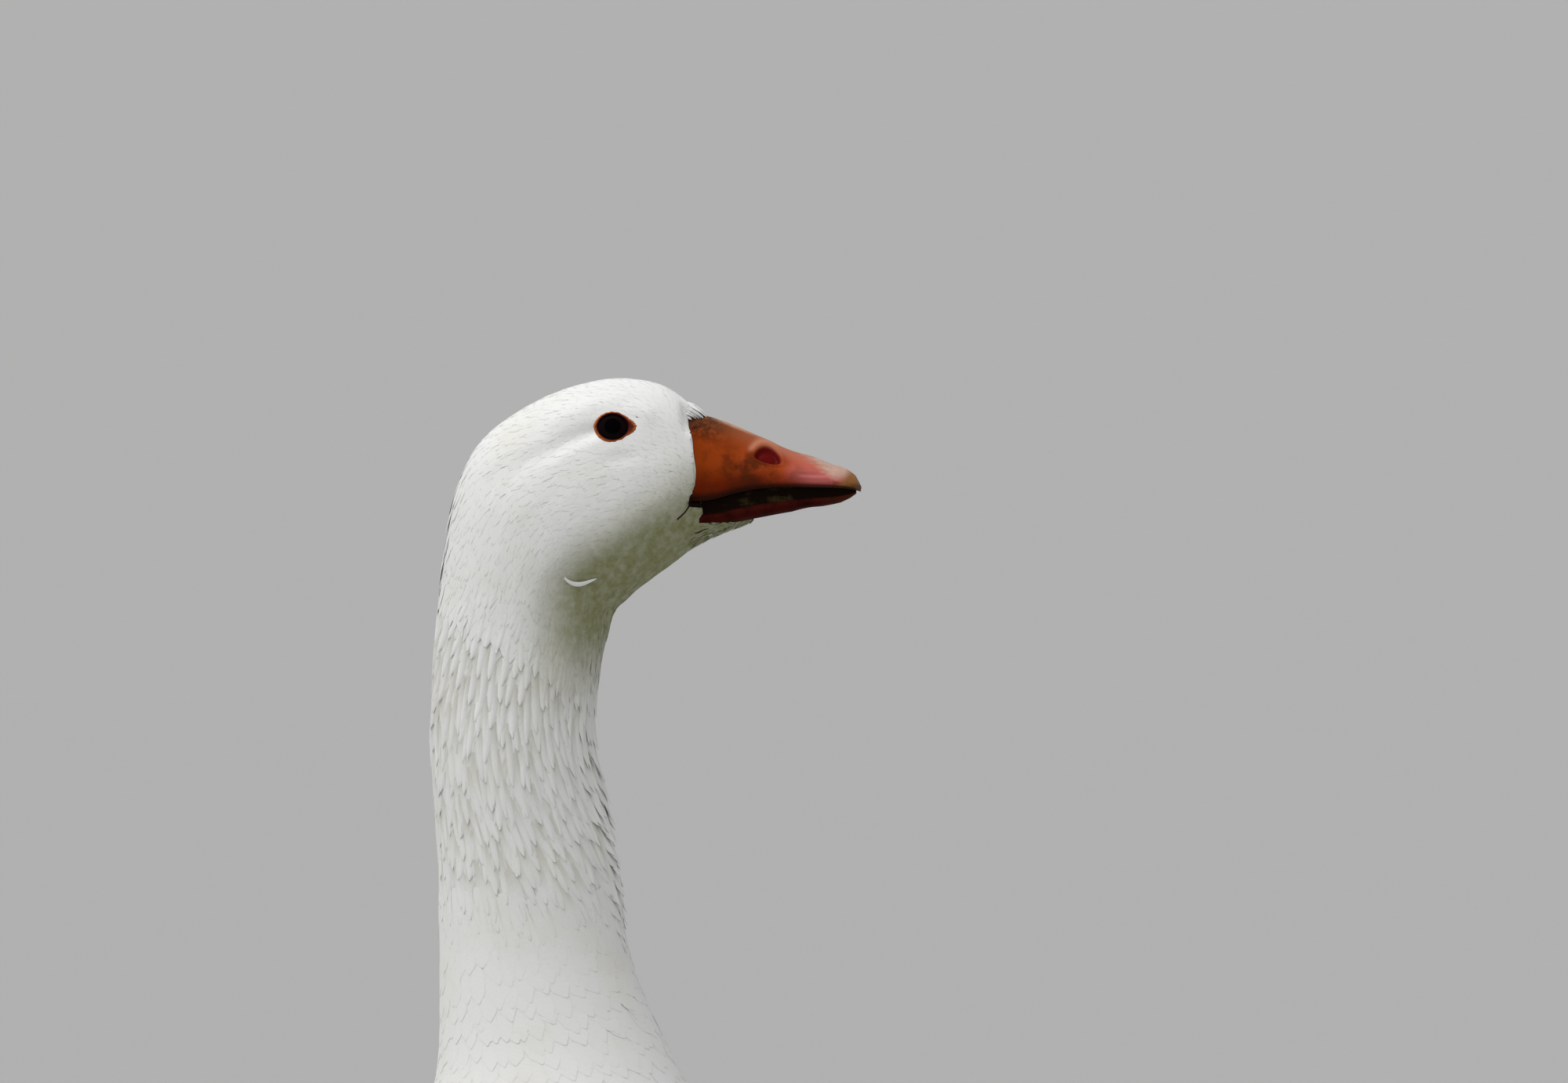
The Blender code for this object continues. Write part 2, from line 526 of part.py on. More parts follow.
def build_claw(name, place, heading, side):
    """A claw: a cone lying along its toe, flattened where it nears the floor."""
    turn = math.radians(heading)
    forward = np.array([math.cos(turn), math.sin(turn), 0.0])
    sideways = np.array([-math.sin(turn), math.cos(turn), 0.0])
    upward = np.array([0.0, 0.0, 0.75])
    share = np.linspace(0.0, 1.0, 4)[:, None, None]
    radius = CLAW_RADIUS * (1.0 - share) ** 0.7 + 0.25
    angle = np.linspace(0.0, 2.0 * math.pi, 8, endpoint=False)[None, :, None]
    centre = np.array([*place, 1.3]) + forward * CLAW_LENGTH * share + upward * (radius - 0.8 * share)
    rings = centre + radius * (np.cos(angle) * sideways + np.sin(angle) * upward)
    loft(name, mirrored(rings, side), CLAW)


def build_thigh(name, side, top, end, trunk_cutter):
    """The feathered thigh, from inside the trunk down to the top of the shank."""
    at = np.linspace(0.0, len(THIGH_RADII) - 1.0, 8)
    centres = top + (end - top) * (at[:, None] / at[-1])
    rings = tube_rings(centres, smooth(THIGH_RADII, at), 16, (0.0, 0.0, 1.0))
    thigh = loft("thigh_" + name, mirrored(rings, side), PLUMAGE)
    cut(thigh, trunk_cutter)


def build_shank(name, side, start, end):
    """The bare shank, thicker at the hock and at the foot."""
    at = np.linspace(0.0, len(SHANK_SHARES) - 1.0, 10)
    centres = start + (end - start) * smooth(SHANK_SHARES, at)
    rings = tube_rings(centres, smooth(SHANK_RADII, at), 14, (0.0, 0.0, 1.0))
    loft("shank_" + name, mirrored(rings, side), LEG)


def build_foot(name, side, ground):
    """The webbed foot with its claws, and the hind toe with its own."""
    loft("foot_" + name, mirrored(foot_rings() + ground, side), LEG)
    for toe, heading, length in zip(TOE_NAMES, TOE_ANGLES, TOE_LENGTHS):
        reach, turn = length + GAP, math.radians(heading)
        place = (ground[0] + reach * math.cos(turn), ground[1] + reach * math.sin(turn))
        build_claw("claw_" + toe + "_" + name, place, heading, side)

    start = ground + np.array(HIND_TOE_START)
    end = start + np.array(HIND_TOE_RUN)
    backward = (-1.0, 0.0, 0.0)
    centres = start + (end - start) * np.linspace(0.0, 1.0, len(HIND_TOE_RADII))[:, None]
    toe_rings = tube_rings(centres, HIND_TOE_RADII, 12, backward)
    loft("hind_toe_" + name, mirrored(toe_rings, side), LEG)
    claw_start = end - np.array([GAP, 0.0, 0.0])
    centres = claw_start + np.array(HIND_CLAW_RUN) * np.linspace(0.0, 1.0, len(HIND_CLAW_RADII))[:, None]
    claw_rings = tube_rings(centres, HIND_CLAW_RADII, 8, backward)
    loft("claw_hind_" + name, mirrored(claw_rings, side), CLAW)


def build_leg(name, side, trunk_cutter):
    """One leg from thigh to claws, made as the left one and mirrored."""
    step = np.array([STRIDE[name], 0.0, 0.0])
    joint, hock = np.array(FOOT_JOINT) + step, np.array(HOCK) + step
    shank_top = hock + np.array([0.0, 0.0, HOCK_RISE])
    above = np.array([0.0, 0.0, GAP])
    build_thigh(name, side, np.array(THIGH_TOP) + 0.4 * step, shank_top + above, trunk_cutter)
    build_shank(name, side, shank_top, joint + above)
    build_foot(name, side, np.array([joint[0], joint[1], 0.0]))


head_piece = build_body()
build_eyes(head_piece)
build_tail()
build_bill()
fitting = body_cutter("trunk_room", 1.5 * GAP)
build_wings(fitting)
for leg_name, leg_side in LEG_SIDES.items():
    build_leg(leg_name, leg_side, fitting)
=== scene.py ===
"""A white domestic goose standing still, life size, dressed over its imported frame.

The bird faces +X, its left side is +Y, and +Z is up. One skin lies inside the frame's solids by the depth of
the coat. The coat is vanes of real mesh laid along the body: short plush on the head, blunt tufts in furrows
on the neck, rounded contour feathers on the trunk, and long quills in the wings and tail. Sizes inside the
functions are in millimetres from the neck's axis unless a name says otherwise, and meshes are made in metres.
"""

import math

import bpy
import numpy as np
from bpy.props import FloatProperty, FloatVectorProperty, IntProperty, PointerProperty
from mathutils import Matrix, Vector


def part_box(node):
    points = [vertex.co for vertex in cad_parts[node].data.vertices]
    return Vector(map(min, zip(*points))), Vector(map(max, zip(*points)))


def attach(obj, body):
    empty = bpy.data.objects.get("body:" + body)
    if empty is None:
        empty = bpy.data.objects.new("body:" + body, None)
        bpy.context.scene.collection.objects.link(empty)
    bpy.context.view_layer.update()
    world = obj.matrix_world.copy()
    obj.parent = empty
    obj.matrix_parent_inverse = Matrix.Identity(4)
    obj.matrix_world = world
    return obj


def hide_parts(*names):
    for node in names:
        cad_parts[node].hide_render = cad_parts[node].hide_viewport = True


bl_info = {
    "name": "Domestic goose",
    "version": (1, 0, 0),
    "blender": (4, 5, 0),
    "location": "3D View > Sidebar > Goose",
    "description": "Skin, feathers, bill, eyes, legs and stage of a life-size goose model",
    "category": "Object",
}

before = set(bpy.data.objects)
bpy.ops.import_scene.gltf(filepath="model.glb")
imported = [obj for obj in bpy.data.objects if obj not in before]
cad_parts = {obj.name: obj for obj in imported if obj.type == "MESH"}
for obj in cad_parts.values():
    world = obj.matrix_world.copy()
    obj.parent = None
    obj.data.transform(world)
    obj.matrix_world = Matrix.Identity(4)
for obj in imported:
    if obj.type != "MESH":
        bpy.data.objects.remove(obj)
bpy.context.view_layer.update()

MM = 0.001
NECK_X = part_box("bill_nail")[1][0] / MM - 118.1  # the neck's axis, forward of the frame's origin
SIDES = {"right": -1.0, "left": 1.0}

# The body's sections, from the bill's root to past the tail's root. Each runs from (back_x, back_z) on the
# back line to (belly_x, belly_z) on the throat, breast or belly line, then its half-width, and how far its
# broadest level is moved towards the belly line, as a share of the half-height.
SECTIONS = {
    "bill root": (61.3, 661.0, 65.5, 616.2, 14.2, 0.06),
    "lores": (49.0, 668.4, 55.0, 607.6, 19.2, 0.12),
    "eyes": (31.0, 669.8, 45.5, 600.8, 22.6, 0.16),
    "ears": (10.0, 663.4, 38.6, 595.0, 24.6, 0.14),
    "nape": (-9.6, 650.3, 34.2, 590.4, 25.0, 0.08),
    "hind head": (-19.0, 633.0, 32.3, 584.0, 24.8, 0.03),
    "throat": (-23.6, 609.5, 30.6, 577.0, 25.0, 0.0),
    "upper neck": (-27.2, 578.0, 28.4, 564.0, 26.2, 0.0),
    "mid neck": (-28.3, 545.0, 27.2, 543.0, 27.6, 0.0),
    "lower neck": (-26.4, 508.0, 34.0, 508.0, 29.0, 0.0),
    "neck root": (-25.6, 470.0, 40.4, 470.0, 32.0, 0.0),
    "crop": (-26.6, 434.0, 56.0, 434.0, 42.0, 0.0),
    "collar": (-33.0, 417.0, 76.0, 398.0, 60.0, 0.0),
    "breast": (-48.0, 403.0, 91.0, 352.0, 80.0, 0.0),
    "keel": (-74.0, 393.0, 94.0, 300.0, 92.0, 0.0),
    "shoulders": (-104.0, 386.5, 80.0, 243.0, 98.0, 0.0),
    "mid back": (-135.0, 380.5, 40.0, 186.0, 99.0, 0.02),
    "flanks": (-170.0, 371.5, -38.0, 139.0, 99.0, 0.05),
    "belly": (-214.0, 357.5, -128.0, 122.0, 99.0, 0.1),
    "paunch": (-262.0, 338.0, -204.0, 120.0, 94.0, 0.14),
    "rump": (-306.0, 314.0, -272.0, 139.0, 79.0, 0.12),
    "vent": (-343.0, 290.0, -326.0, 184.0, 58.0, 0.08),
    "tail root": (-370.0, 271.0, -362.0, 224.0, 38.0, 0.04),
    "over the tail": (-400.0, 260.0, -395.0, 230.0, 38.0, 0.02),
}
ROWS = list(SECTIONS.values())
PLACES = list(SECTIONS)

# Depth of the coat over the skin, by section.
COAT_DEPTH = (
    0.5, 0.8, 0.9, 1.0, 1.2, 1.5, 1.9, 2.3, 2.5, 2.6, 2.9, 3.4,
    4.0, 4.6, 5.0, 5.5, 5.5, 5.5, 5.5, 5.5, 5.0, 4.5, 4.0, 3.0,
)

# The folded wing, from the shoulder to the ends of the tertials: x, upper edge, lower edge, reach of the
# outer face to the side at its broadest and at its upper edge.
WING = (
    (31.0, 338.0, 328.0, 70.0, 60.0),
    (23.0, 354.0, 308.0, 80.0, 57.0),
    (6.0, 370.0, 289.0, 88.0, 55.0),
    (-22.0, 380.5, 269.0, 97.0, 52.0),
    (-70.0, 385.5, 250.0, 104.0, 46.0),
    (-130.0, 380.0, 238.0, 107.5, 40.0),
    (-190.0, 367.0, 235.0, 105.5, 34.0),
    (-245.0, 350.0, 243.0, 97.0, 26.0),
    (-295.0, 331.0, 260.0, 82.0, 19.0),
    (-335.0, 315.0, 280.0, 63.0, 15.0),
    (-362.0, 303.0, 296.0, 48.0, 14.0),
)
WING_LIP = 3.4
# The folded primaries: x, upper edge, lower edge, y and thickness.
WING_TIP = (
    (-296.0, 313.0, 283.0, 62.0, 7.0),
    (-335.0, 300.5, 271.0, 45.0, 6.5),
    (-370.0, 292.0, 266.5, 31.0, 5.5),
    (-400.0, 286.0, 265.5, 21.0, 4.5),
    (-424.0, 281.0, 266.5, 14.0, 3.2),
    (-440.0, 276.0, 270.5, 10.5, 1.6),
)
# The tail: x, height of its middle, half-height and half-width.
TAIL = (
    (-371.0, 250.0, 20.0, 36.5),
    (-395.0, 247.5, 12.5, 39.0),
    (-420.0, 243.0, 7.5, 43.5),
    (-440.0, 239.0, 5.0, 46.5),
    (-454.0, 236.5, 3.2, 45.0),
    (-463.0, 235.0, 1.8, 33.0),
)
TAIL_DROOP, TAIL_HALF_WIDTH = 7.0, 46.5

# The bill, from its root to the tip of the nail: share of its length, ridge height, cutting-edge height,
# half-width.
BILL_ROOT_X, BILL_TIP_X, JAW_TIP_X, NAIL_START = 61.9, 118.1, 116.6, 0.83
BILL = (
    (0.0, 659.4, 629.7, 13.8),
    (0.1, 657.2, 630.0, 13.3),
    (0.22, 654.5, 632.0, 12.5),
    (0.38, 650.6, 633.7, 11.5),
    (0.55, 646.5, 634.3, 10.6),
    (0.7, 643.7, 634.2, 10.0),
    (0.82, 641.2, 634.0, 9.2),
    (0.91, 639.2, 633.6, 7.6),
    (0.965, 636.9, 632.9, 5.4),
    (1.0, 633.2, 632.0, 1.2),
)
# The lower bill: share of its length, floor height and half-width.
JAW = (
    (0.0, 620.3, 12.0),
    (0.2, 620.9, 11.6),
    (0.4, 622.8, 10.4),
    (0.6, 624.8, 9.1),
    (0.7, 626.2, 8.6),
    (0.8, 626.8, 7.9),
    (0.9, 627.9, 6.6),
    (0.96, 629.4, 4.8),
    (1.0, 630.9, 2.2),
)
# The line on each side where the feathers end on the upper bill: height and x, from the corner of the mouth
# up.
FEATHER_LINE = (
    (628.0, 59.6), (630.6, 60.0), (632.5, 61.1), (634.7, 61.9), (637.4, 62.2), (640.0, 62.3), (645.3, 61.5),
    (650.7, 61.0), (654.6, 60.3), (658.4, 59.9), (661.0, 59.9),
)
CHIN_X = (66.4, 82.0)

EYE_X, EYE_Z = 34.0, 654.9
NOSTRIL = (86.4, 643.3)

LEG_STRIDE = {"right": 9.0, "left": -9.0}
FOOT_JOINT = (-150.0, 50.0, 15.0)
HOCK = (-172.0, 51.0, 104.0)
HOCK_RISE = 10.0
THIGH_TOP = (-128.0, 54.0, 186.0)
THIGH_RADII = ((40.0, 30.0), (38.0, 29.0), (32.0, 26.0), (21.0, 18.0), (12.0, 11.0))
SHANK_SHARES = (0.0, 0.08, 0.18, 0.35, 0.6, 0.8, 0.92, 1.0)
SHANK_RADII = (
    (9.6, 8.6), (10.2, 9.0), (8.4, 7.2), (6.6, 5.3), (6.2, 5.0), (6.8, 5.8), (8.2, 7.8), (7.8, 7.6),
)
TOE_NAMES = ("inner", "middle", "outer")
TOE_ANGLES = (-25.0, 2.0, 28.0)
TOE_LENGTHS = (66.0, 83.0, 76.0)
TOE_JOINTS = ((0.42, 0.74), (0.36, 0.6, 0.82), (0.3, 0.5, 0.68, 0.84))
TOE_HALF_WIDTH = 4.6
TOE_END_ANGLE = 4.0
TOE_HEIGHTS = (13.0, 6.6)
HUB_RADII = (7.0, 19.0)
HEEL_RADIUS, HEEL_BACK = 10.5, 9.0
WEB_THICK, WEB_DIP = 1.6, 0.17
HIND_TOE_START = (-9.4, -2.0, 10.5)
HIND_TOE_RUN = (-17.0, -3.0, -5.5)
HIND_TOE_RADII = ((4.0, 3.6), (4.1, 3.7), (3.7, 3.3), (2.2, 2.0))


# Curves and surfaces.


def smooth(rows, at):
    """Reads a smooth curve through rows at row numbers: between two rows it is the cubic whose slopes are the
    rows' central differences."""
    values = np.asarray(rows, float).reshape(len(rows), -1)
    at = np.asarray(at, float)
    low = np.clip(np.floor(at).astype(int), 0, len(values) - 2)
    share = (at - low)[..., None]
    slope = np.gradient(values, axis=0)
    start, end = values[low], values[low + 1]
    cubic = 2 * share**3 - 3 * share**2
    return (
        start * (1 + cubic)
        - end * cubic
        + slope[low] * (share**3 - 2 * share**2 + share)
        + slope[low + 1] * (share**3 - share**2)
    )


def by_share(rows, share):
    """Reads the other columns of rows smoothly at places of their first column, a share."""
    table = np.asarray(rows, float)
    at = np.interp(share, table[:, 0], np.arange(len(table)))
    return smooth(table[:, 1:], at)


def unit(vectors):
    """Vectors divided by their lengths."""
    return vectors / np.maximum(np.linalg.norm(vectors, axis=-1, keepdims=True), 1e-12)


def together(x, y, z):
    """Points from their three coordinates, each spread over the same grid."""
    return np.stack(np.broadcast_arrays(x, y, z), axis=-1)


def full_turn(count):
    """Even angles of one turn, without its end."""
    return np.linspace(0.0, 2.0 * math.pi, count, endpoint=False)


def lattice(first, second):
    """Two grids that hold every pair of values, the first along the rows."""
    return np.meshgrid(first, second, indexing="ij")


def bump(distance, width):
    """A bell: exp(-(distance / width) squared)."""
    return np.exp(-((distance / width) ** 2))


def ramp(value, low, high):
    """Smooth step from 0 at low to 1 at high."""
    share = np.clip((value - low) / (high - low), 0.0, 1.0)
    return share * share * (3.0 - 2.0 * share)


class Surface:
    """A surface kept as a grid of points over p along and q around, and read between them. Its normal is dq x
    dp, so it points outwards where q turns from the back over the left side as p runs tailwards."""

    def __init__(self, points, p_range, q_range):
        self.low = np.array([p_range[0], q_range[0]])
        self.count = np.array(points.shape[:2])
        self.step = np.array([p_range[1] - p_range[0], q_range[1] - q_range[0]]) / (self.count - 1)
        d_p = np.gradient(points, self.step[0], axis=0)
        d_q = np.gradient(points, self.step[1], axis=1)
        normal = unit(np.cross(d_q, d_p))
        self.table = np.concatenate([points, normal, d_p, d_q], axis=2)

    def at(self, p, q):
        """Points, unit normals, and the derivatives by p and by q."""
        i = np.clip((np.asarray(p) - self.low[0]) / self.step[0], 0.0, self.count[0] - 1.001)
        j = np.clip((np.asarray(q) - self.low[1]) / self.step[1], 0.0, self.count[1] - 1.001)
        i0, j0 = i.astype(int), j.astype(int)
        fi, fj = (i - i0)[..., None], (j - j0)[..., None]
        table = self.table
        row = table[i0, j0] * (1 - fj) + table[i0, j0 + 1] * fj
        next_row = table[i0 + 1, j0] * (1 - fj) + table[i0 + 1, j0 + 1] * fj
        value = row * (1 - fi) + next_row * fi
        return value[..., 0:3], unit(value[..., 3:6]), value[..., 6:9], value[..., 9:12]


def body_points(t, angle):
    """The coat's outer surface. At section number t, from back to belly line, the point is centre + half x
    (cos a - w sin^2 a), and half_width x sin a to the side."""
    rows = smooth(ROWS, t)
    half = (rows[..., 0:2] - rows[..., 2:4]) / 2.0
    centre = (rows[..., 0:2] + rows[..., 2:4]) / 2.0
    upward = np.cos(angle) - rows[..., 5] * np.sin(angle) ** 2
    x = centre[..., 0] + half[..., 0] * upward
    z = centre[..., 1] + half[..., 1] * upward
    return together(x, rows[..., 4] * np.sin(angle), z)


def path_distance(x, z, path):
    """Distance in the side view to a polyline, and the share of its length where it is nearest."""
    best = np.full(np.shape(x), 1e9)
    place = np.zeros(np.shape(x))
    path = np.asarray(path, float)
    for number, (start, end) in enumerate(zip(path, path[1:])):
        run = end - start
        share = np.clip(((x - start[0]) * run[0] + (z - start[1]) * run[1]) / (run @ run), 0.0, 1.0)
        away = np.hypot(x - start[0] - share * run[0], z - start[1] - share * run[1])
        place = np.where(away < best, (number + share) / (len(path) - 1), place)
        best = np.minimum(best, away)
    return best, place


def drift(a, b, seed, around):
    """Soft noise from -1 to 1 over two numbers of cells: random heights at whole numbers, joined by smooth
    steps. It repeats after 256 cells of a and around cells of b."""
    table = np.random.default_rng(seed).uniform(-1.0, 1.0, (256, around))
    i, j = np.floor(a).astype(int), np.floor(b).astype(int)
    u, v = ramp(a - i, 0.0, 1.0), ramp(b - j, 0.0, 1.0)
    i0, i1, j0, j1 = i % 256, (i + 1) % 256, j % around, (j + 1) % around
    first = table[i0, j0] * (1 - v) + table[i0, j1] * v
    second = table[i1, j0] * (1 - v) + table[i1, j1] * v
    return first * (1 - u) + second * u


def feather_edge(z):
    """How far forward the feathers reach beside the upper bill at a height."""
    return np.interp(z, *np.array(FEATHER_LINE).T)


EYE_GROOVE = ((27.5, 653.6), (19.0, 650.2), (8.0, 644.6), (-2.0, 638.6), (-9.0, 630.0))
BROW = ((46.0, 659.6), (38.0, 663.4), (28.0, 662.6), (16.0, 657.6))
CHEEK_LINE = ((56.0, 630.0), (44.0, 624.0), (30.0, 617.0), (14.0, 610.0))


def head_relief(points):
    """How far the head's plumage stands out: a furrow behind the eye, a brow, a hollow before the eye and a
    full cheek. Each is a bell across its line in the side view, and fades towards the middle plane."""
    x, z = points[..., 0], points[..., 2]
    side = ramp(np.abs(points[..., 1]), 5.0, 14.0)
    away, place = path_distance(x, z, EYE_GROOVE)
    furrow = -1.6 * bump(away, 2.3 + 3.0 * place) * (1.0 - place) ** 0.6
    brow = 0.8 * bump(path_distance(x, z, BROW)[0], 3.2)
    hollow = -0.55 * bump(np.hypot(x - 51.0, z - 649.0), 6.5)
    cheek = 0.55 * bump(path_distance(x, z, CHEEK_LINE)[0], 7.0)
    under_eye = -0.4 * bump(np.hypot((x - 37.0) / 2.2, z - 645.0), 2.4)
    over_eye = -0.45 * bump(np.hypot((x - 38.0) / 1.7, z - 663.0), 2.2)
    return side * (furrow + brow + hollow + cheek + under_eye + over_eye)


def plush_relief(t, angle):
    """Soft clumps of the plumage on head and neck, as noise drawn out along the coat: fine on the head, broad
    and higher on the neck, and none at the neck's root."""
    along = side_length(t) - side_length([3.0])[0]
    around = (angle - 0.0075 * np.sin(angle) * np.clip(along, -60.0, 45.0)) / (2.0 * math.pi)
    fine = drift(along / 8.0, around * 58.0, 11, 58) + 0.5 * drift(along / 4.0, around * 110.0, 12, 110)
    broad = drift(along / 15.0, around * 40.0, 13, 40)
    on_neck = ramp(t, 5.6, 7.4) * ramp(t, 10.2, 9.2)
    on_head = ramp(t, 0.3, 2.0) * ramp(t, 9.5, 6.5)
    return on_head * (0.12 * fine + 0.14 * broad) + 0.3 * broad * on_neck


def body_surface():
    """The coat's outer surface with the plumage's relief. It steps in where the bill begins."""
    t = np.linspace(0.0, len(ROWS) - 1.0, 1151)
    angle = np.linspace(-0.5 * math.pi, 2.5 * math.pi, 361)
    t_grid, angle_grid = lattice(t, angle)
    points = body_points(t_grid, angle_grid)
    head = t < 10.4
    plain = Surface(points[head], (0.0, 1.0), (0.0, 1.0))
    relief = head_relief(points[head]) * ramp(t_grid[head], 7.0, 6.0)
    relief += plush_relief(t_grid[head], angle_grid[head])
    past = points[head][..., 0] - feather_edge(points[head][..., 2])
    relief -= 2.4 * ramp(past, 0.2, 1.6) * ramp(points[head][..., 2], 627.6, 629.0)
    corner = ramp(points[head][..., 2], 651.0, 656.0) * ramp(np.abs(points[head][..., 1]), 3.0, 6.0)
    relief -= 1.7 * ramp(past, -4.0, 0.3) * corner
    points[head] += plain.table[..., 3:6] * relief[..., None]
    return Surface(points, (t[0], t[-1]), (angle[0], angle[-1]))


def trunk_reach(x, z):
    """The trunk's half-width at points of the side view, and 0 outside its outline. Each point is read on the
    section whose straight line passes nearest to it."""
    rows = smooth(ROWS, np.linspace(PLACES.index("crop") - 0.3, PLACES.index("tail root"), 160))
    back, along = rows[:, 0:2], rows[:, 2:4] - rows[:, 0:2]
    away = np.stack([x, z], axis=-1)[..., None, :] - back
    length = np.linalg.norm(along, axis=1)
    share = (away * along).sum(axis=-1) / length**2
    aside = np.abs(away[..., 0] * along[:, 1] - away[..., 1] * along[:, 0]) / length
    aside[(share < 0.0) | (share > 1.0)] = np.inf
    nearest = np.argmin(aside, axis=-1)
    upward = 1.0 - 2.0 * np.take_along_axis(share, nearest[..., None], axis=-1)[..., 0]
    shift = rows[nearest, 5] + 1e-9
    cosine = (np.sqrt(1.0 + 4.0 * shift * (shift + upward)) - 1.0) / (2.0 * shift)
    reach = rows[nearest, 4] * np.sqrt(np.maximum(0.0, 1.0 - cosine**2))
    return np.where(np.min(aside, axis=-1) < 4.0, reach, 0.0)


def rows_at(rows, x):
    """Reads the other columns of rows smoothly at places x, for rows ordered by falling x."""
    table = np.array(rows)
    return smooth(table[:, 1:], np.interp(-np.asarray(x), -table[:, 0], np.arange(len(table))))


def wing_points(x, v):
    """The left folded wing's outer face: at x, v runs from its upper to its lower edge. Its reach swells as
    the sine of v, and it stays outside the trunk by the lip."""
    top, low, reach, top_reach = np.moveaxis(rows_at(WING, x), -1, 0)
    z = top + (low - top) * v
    swell = np.sin(math.pi / 2.0 * np.minimum(v / 0.62, 1.0)) ** 0.9
    y = top_reach + (reach - top_reach) * swell - 5.0 * np.maximum(v - 0.7, 0.0) / 0.3
    return together(x, np.maximum(y, trunk_reach(x + 0.0 * v, z) + WING_LIP), z)


WING_START, WING_END = WING[0][0], WING[-1][0]


def wing_surface():
    """The left wing and half the back. p is the distance back from the shoulder. q runs from -1 on the back's
    middle line, over a crown that falls as (y / edge)^2.2, to 0 on the wing's upper edge and 1 on its lower
    edge."""
    p = np.linspace(0.0, WING_START - WING_END, 198)
    q = np.linspace(-1.0, 1.0, 97)
    p_grid, q_grid = lattice(p, q)
    x = WING_START - p_grid
    face = wing_points(x, np.maximum(q_grid, 0.0))
    back = smooth(ROWS, np.linspace(PLACES.index("collar"), len(ROWS) - 1.0, 300))[:, 0:2]
    crown_z = np.interp(-x, -back[:, 0], back[:, 1]) + 1.2
    inward = np.clip(1.0 + q_grid, 0.0, 1.0)
    edge_y, edge_z = face[..., 1], face[..., 2]
    over = together(x, edge_y * inward, crown_z - (crown_z - edge_z) * inward**2.2)
    points = np.where(q_grid[..., None] < 0.0, over, face)
    for _ in range(6):
        four = points[2:, 1:-1] + points[:-2, 1:-1] + points[1:-1, 2:] + points[1:-1, :-2]
        points[1:-1, 1:-1] += 0.2 * (four - 4.0 * points[1:-1, 1:-1])
    return Surface(points, (p[0], p[-1]), (-1.0, 1.0))


def tail_surface(side):
    """The tail's upper face (side 1) or lower face (side -1): p is the distance back from its root, and q
    runs across it from -1 to 1. Its height is half-height x sqrt(1 - 0.97 q^2), less a droop as y^2."""
    length = TAIL[0][0] - TAIL[-1][0]
    p, q = lattice(np.linspace(0.0, length, 93), np.linspace(-1.0, 1.0, 61))
    x = TAIL[0][0] - p
    mid, high, wide = np.moveaxis(rows_at(TAIL, x), -1, 0)
    wide = np.maximum(wide, 30.0)
    y = wide * q
    droop = TAIL_DROOP * (p / length) * (y / TAIL_HALF_WIDTH) ** 2
    z = mid + side * high * np.sqrt(np.maximum(0.0, 1.0 - 0.97 * q**2)) - droop
    lean = (271.0 - z) * 8.0 / 47.0 * np.maximum(0.0, 1.0 - p / 30.0)
    surface = Surface(together(x + lean, y, z), (0.0, length), (-1.0, 1.0))
    surface.table[..., 3:6] *= side * np.sign(surface.table[46, 30, 5])
    return surface


# Mesh building.


def to_world(points):
    """From millimetres about the neck's axis to metres in the frame."""
    return (np.asarray(points, float) + np.array([NECK_X, 0.0, 0.0])) * MM


def make_object(name, points, faces, material):
    """A smooth-shaded mesh object at the origin. points are in metres."""
    mesh = bpy.data.meshes.new(name)
    mesh.from_pydata(np.asarray(points, float), [], faces)
    mesh.shade_smooth()
    mesh.materials.append(material)
    mesh.update()
    made = bpy.data.objects.new(name, mesh)
    bpy.context.scene.collection.objects.link(made)
    return made


def settle(piece, slot, *nodes):
    """Puts a finished piece on the frame's one body and hides the nodes it stands for. Its slot is not used.
    """
    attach(piece, "root")
    if nodes:
        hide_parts(*nodes)
    return piece


def set_uv(mesh, name, corner_uv):
    """A UV map from one pair for each face's corner."""
    layer = mesh.uv_layers.new(name=name)
    layer.data.foreach_set("uv", np.ascontiguousarray(corner_uv, dtype=np.float32).ravel())


def set_values(mesh, name, values):
    """An attribute from one number for each point."""
    attribute = mesh.attributes.new(name, "FLOAT", "POINT")
    attribute.data.foreach_set("value", np.ascontiguousarray(values, dtype=np.float32).ravel())


def loft_mesh(rings):
    """Points and triangles of a tube over closed rings (rings x points x 3), closed at each end by a fan to
    the ring's middle."""
    count, segments = rings.shape[:2]
    index = np.arange(count * segments).reshape(count, segments)
    right = np.roll(index, -1, axis=1)
    a, b, c, d = index[:-1], right[:-1], right[1:], index[1:]
    hub = np.full(segments, count * segments)
    faces = [
        np.stack([a, b, c], axis=-1).reshape(-1, 3),
        np.stack([a, c, d], axis=-1).reshape(-1, 3),
        np.stack([right[0], index[0], hub], axis=-1),
        np.stack([index[-1], right[-1], hub + 1], axis=-1),
    ]
    hubs = [ring.mean(axis=0, keepdims=True) for ring in (rings[0], rings[-1])]
    return np.concatenate([rings.reshape(-1, 3), *hubs]), np.concatenate(faces)


def outward(points, faces):
    """The faces, all turned round if the closed shape they bound has a negative volume."""
    a, b, c = points[faces[:, 0]], points[faces[:, 1]], points[faces[:, 2]]
    volume = np.einsum("ij,ij->i", a, np.cross(b, c)).sum()
    return faces if volume > 0.0 else faces[:, ::-1]


def closed_object(name, material, *lofts):
    """One object of closed lofts over rings in millimetres, the faces of each turned outwards."""
    points, faces, start = [], [], 0
    for rings in lofts:
        loft_points, loft_faces = loft_mesh(to_world(rings))
        points.append(loft_points)
        faces.append(outward(loft_points, loft_faces) + start)
        start += len(loft_points)
    return make_object(name, np.concatenate(points), np.concatenate(faces), material)


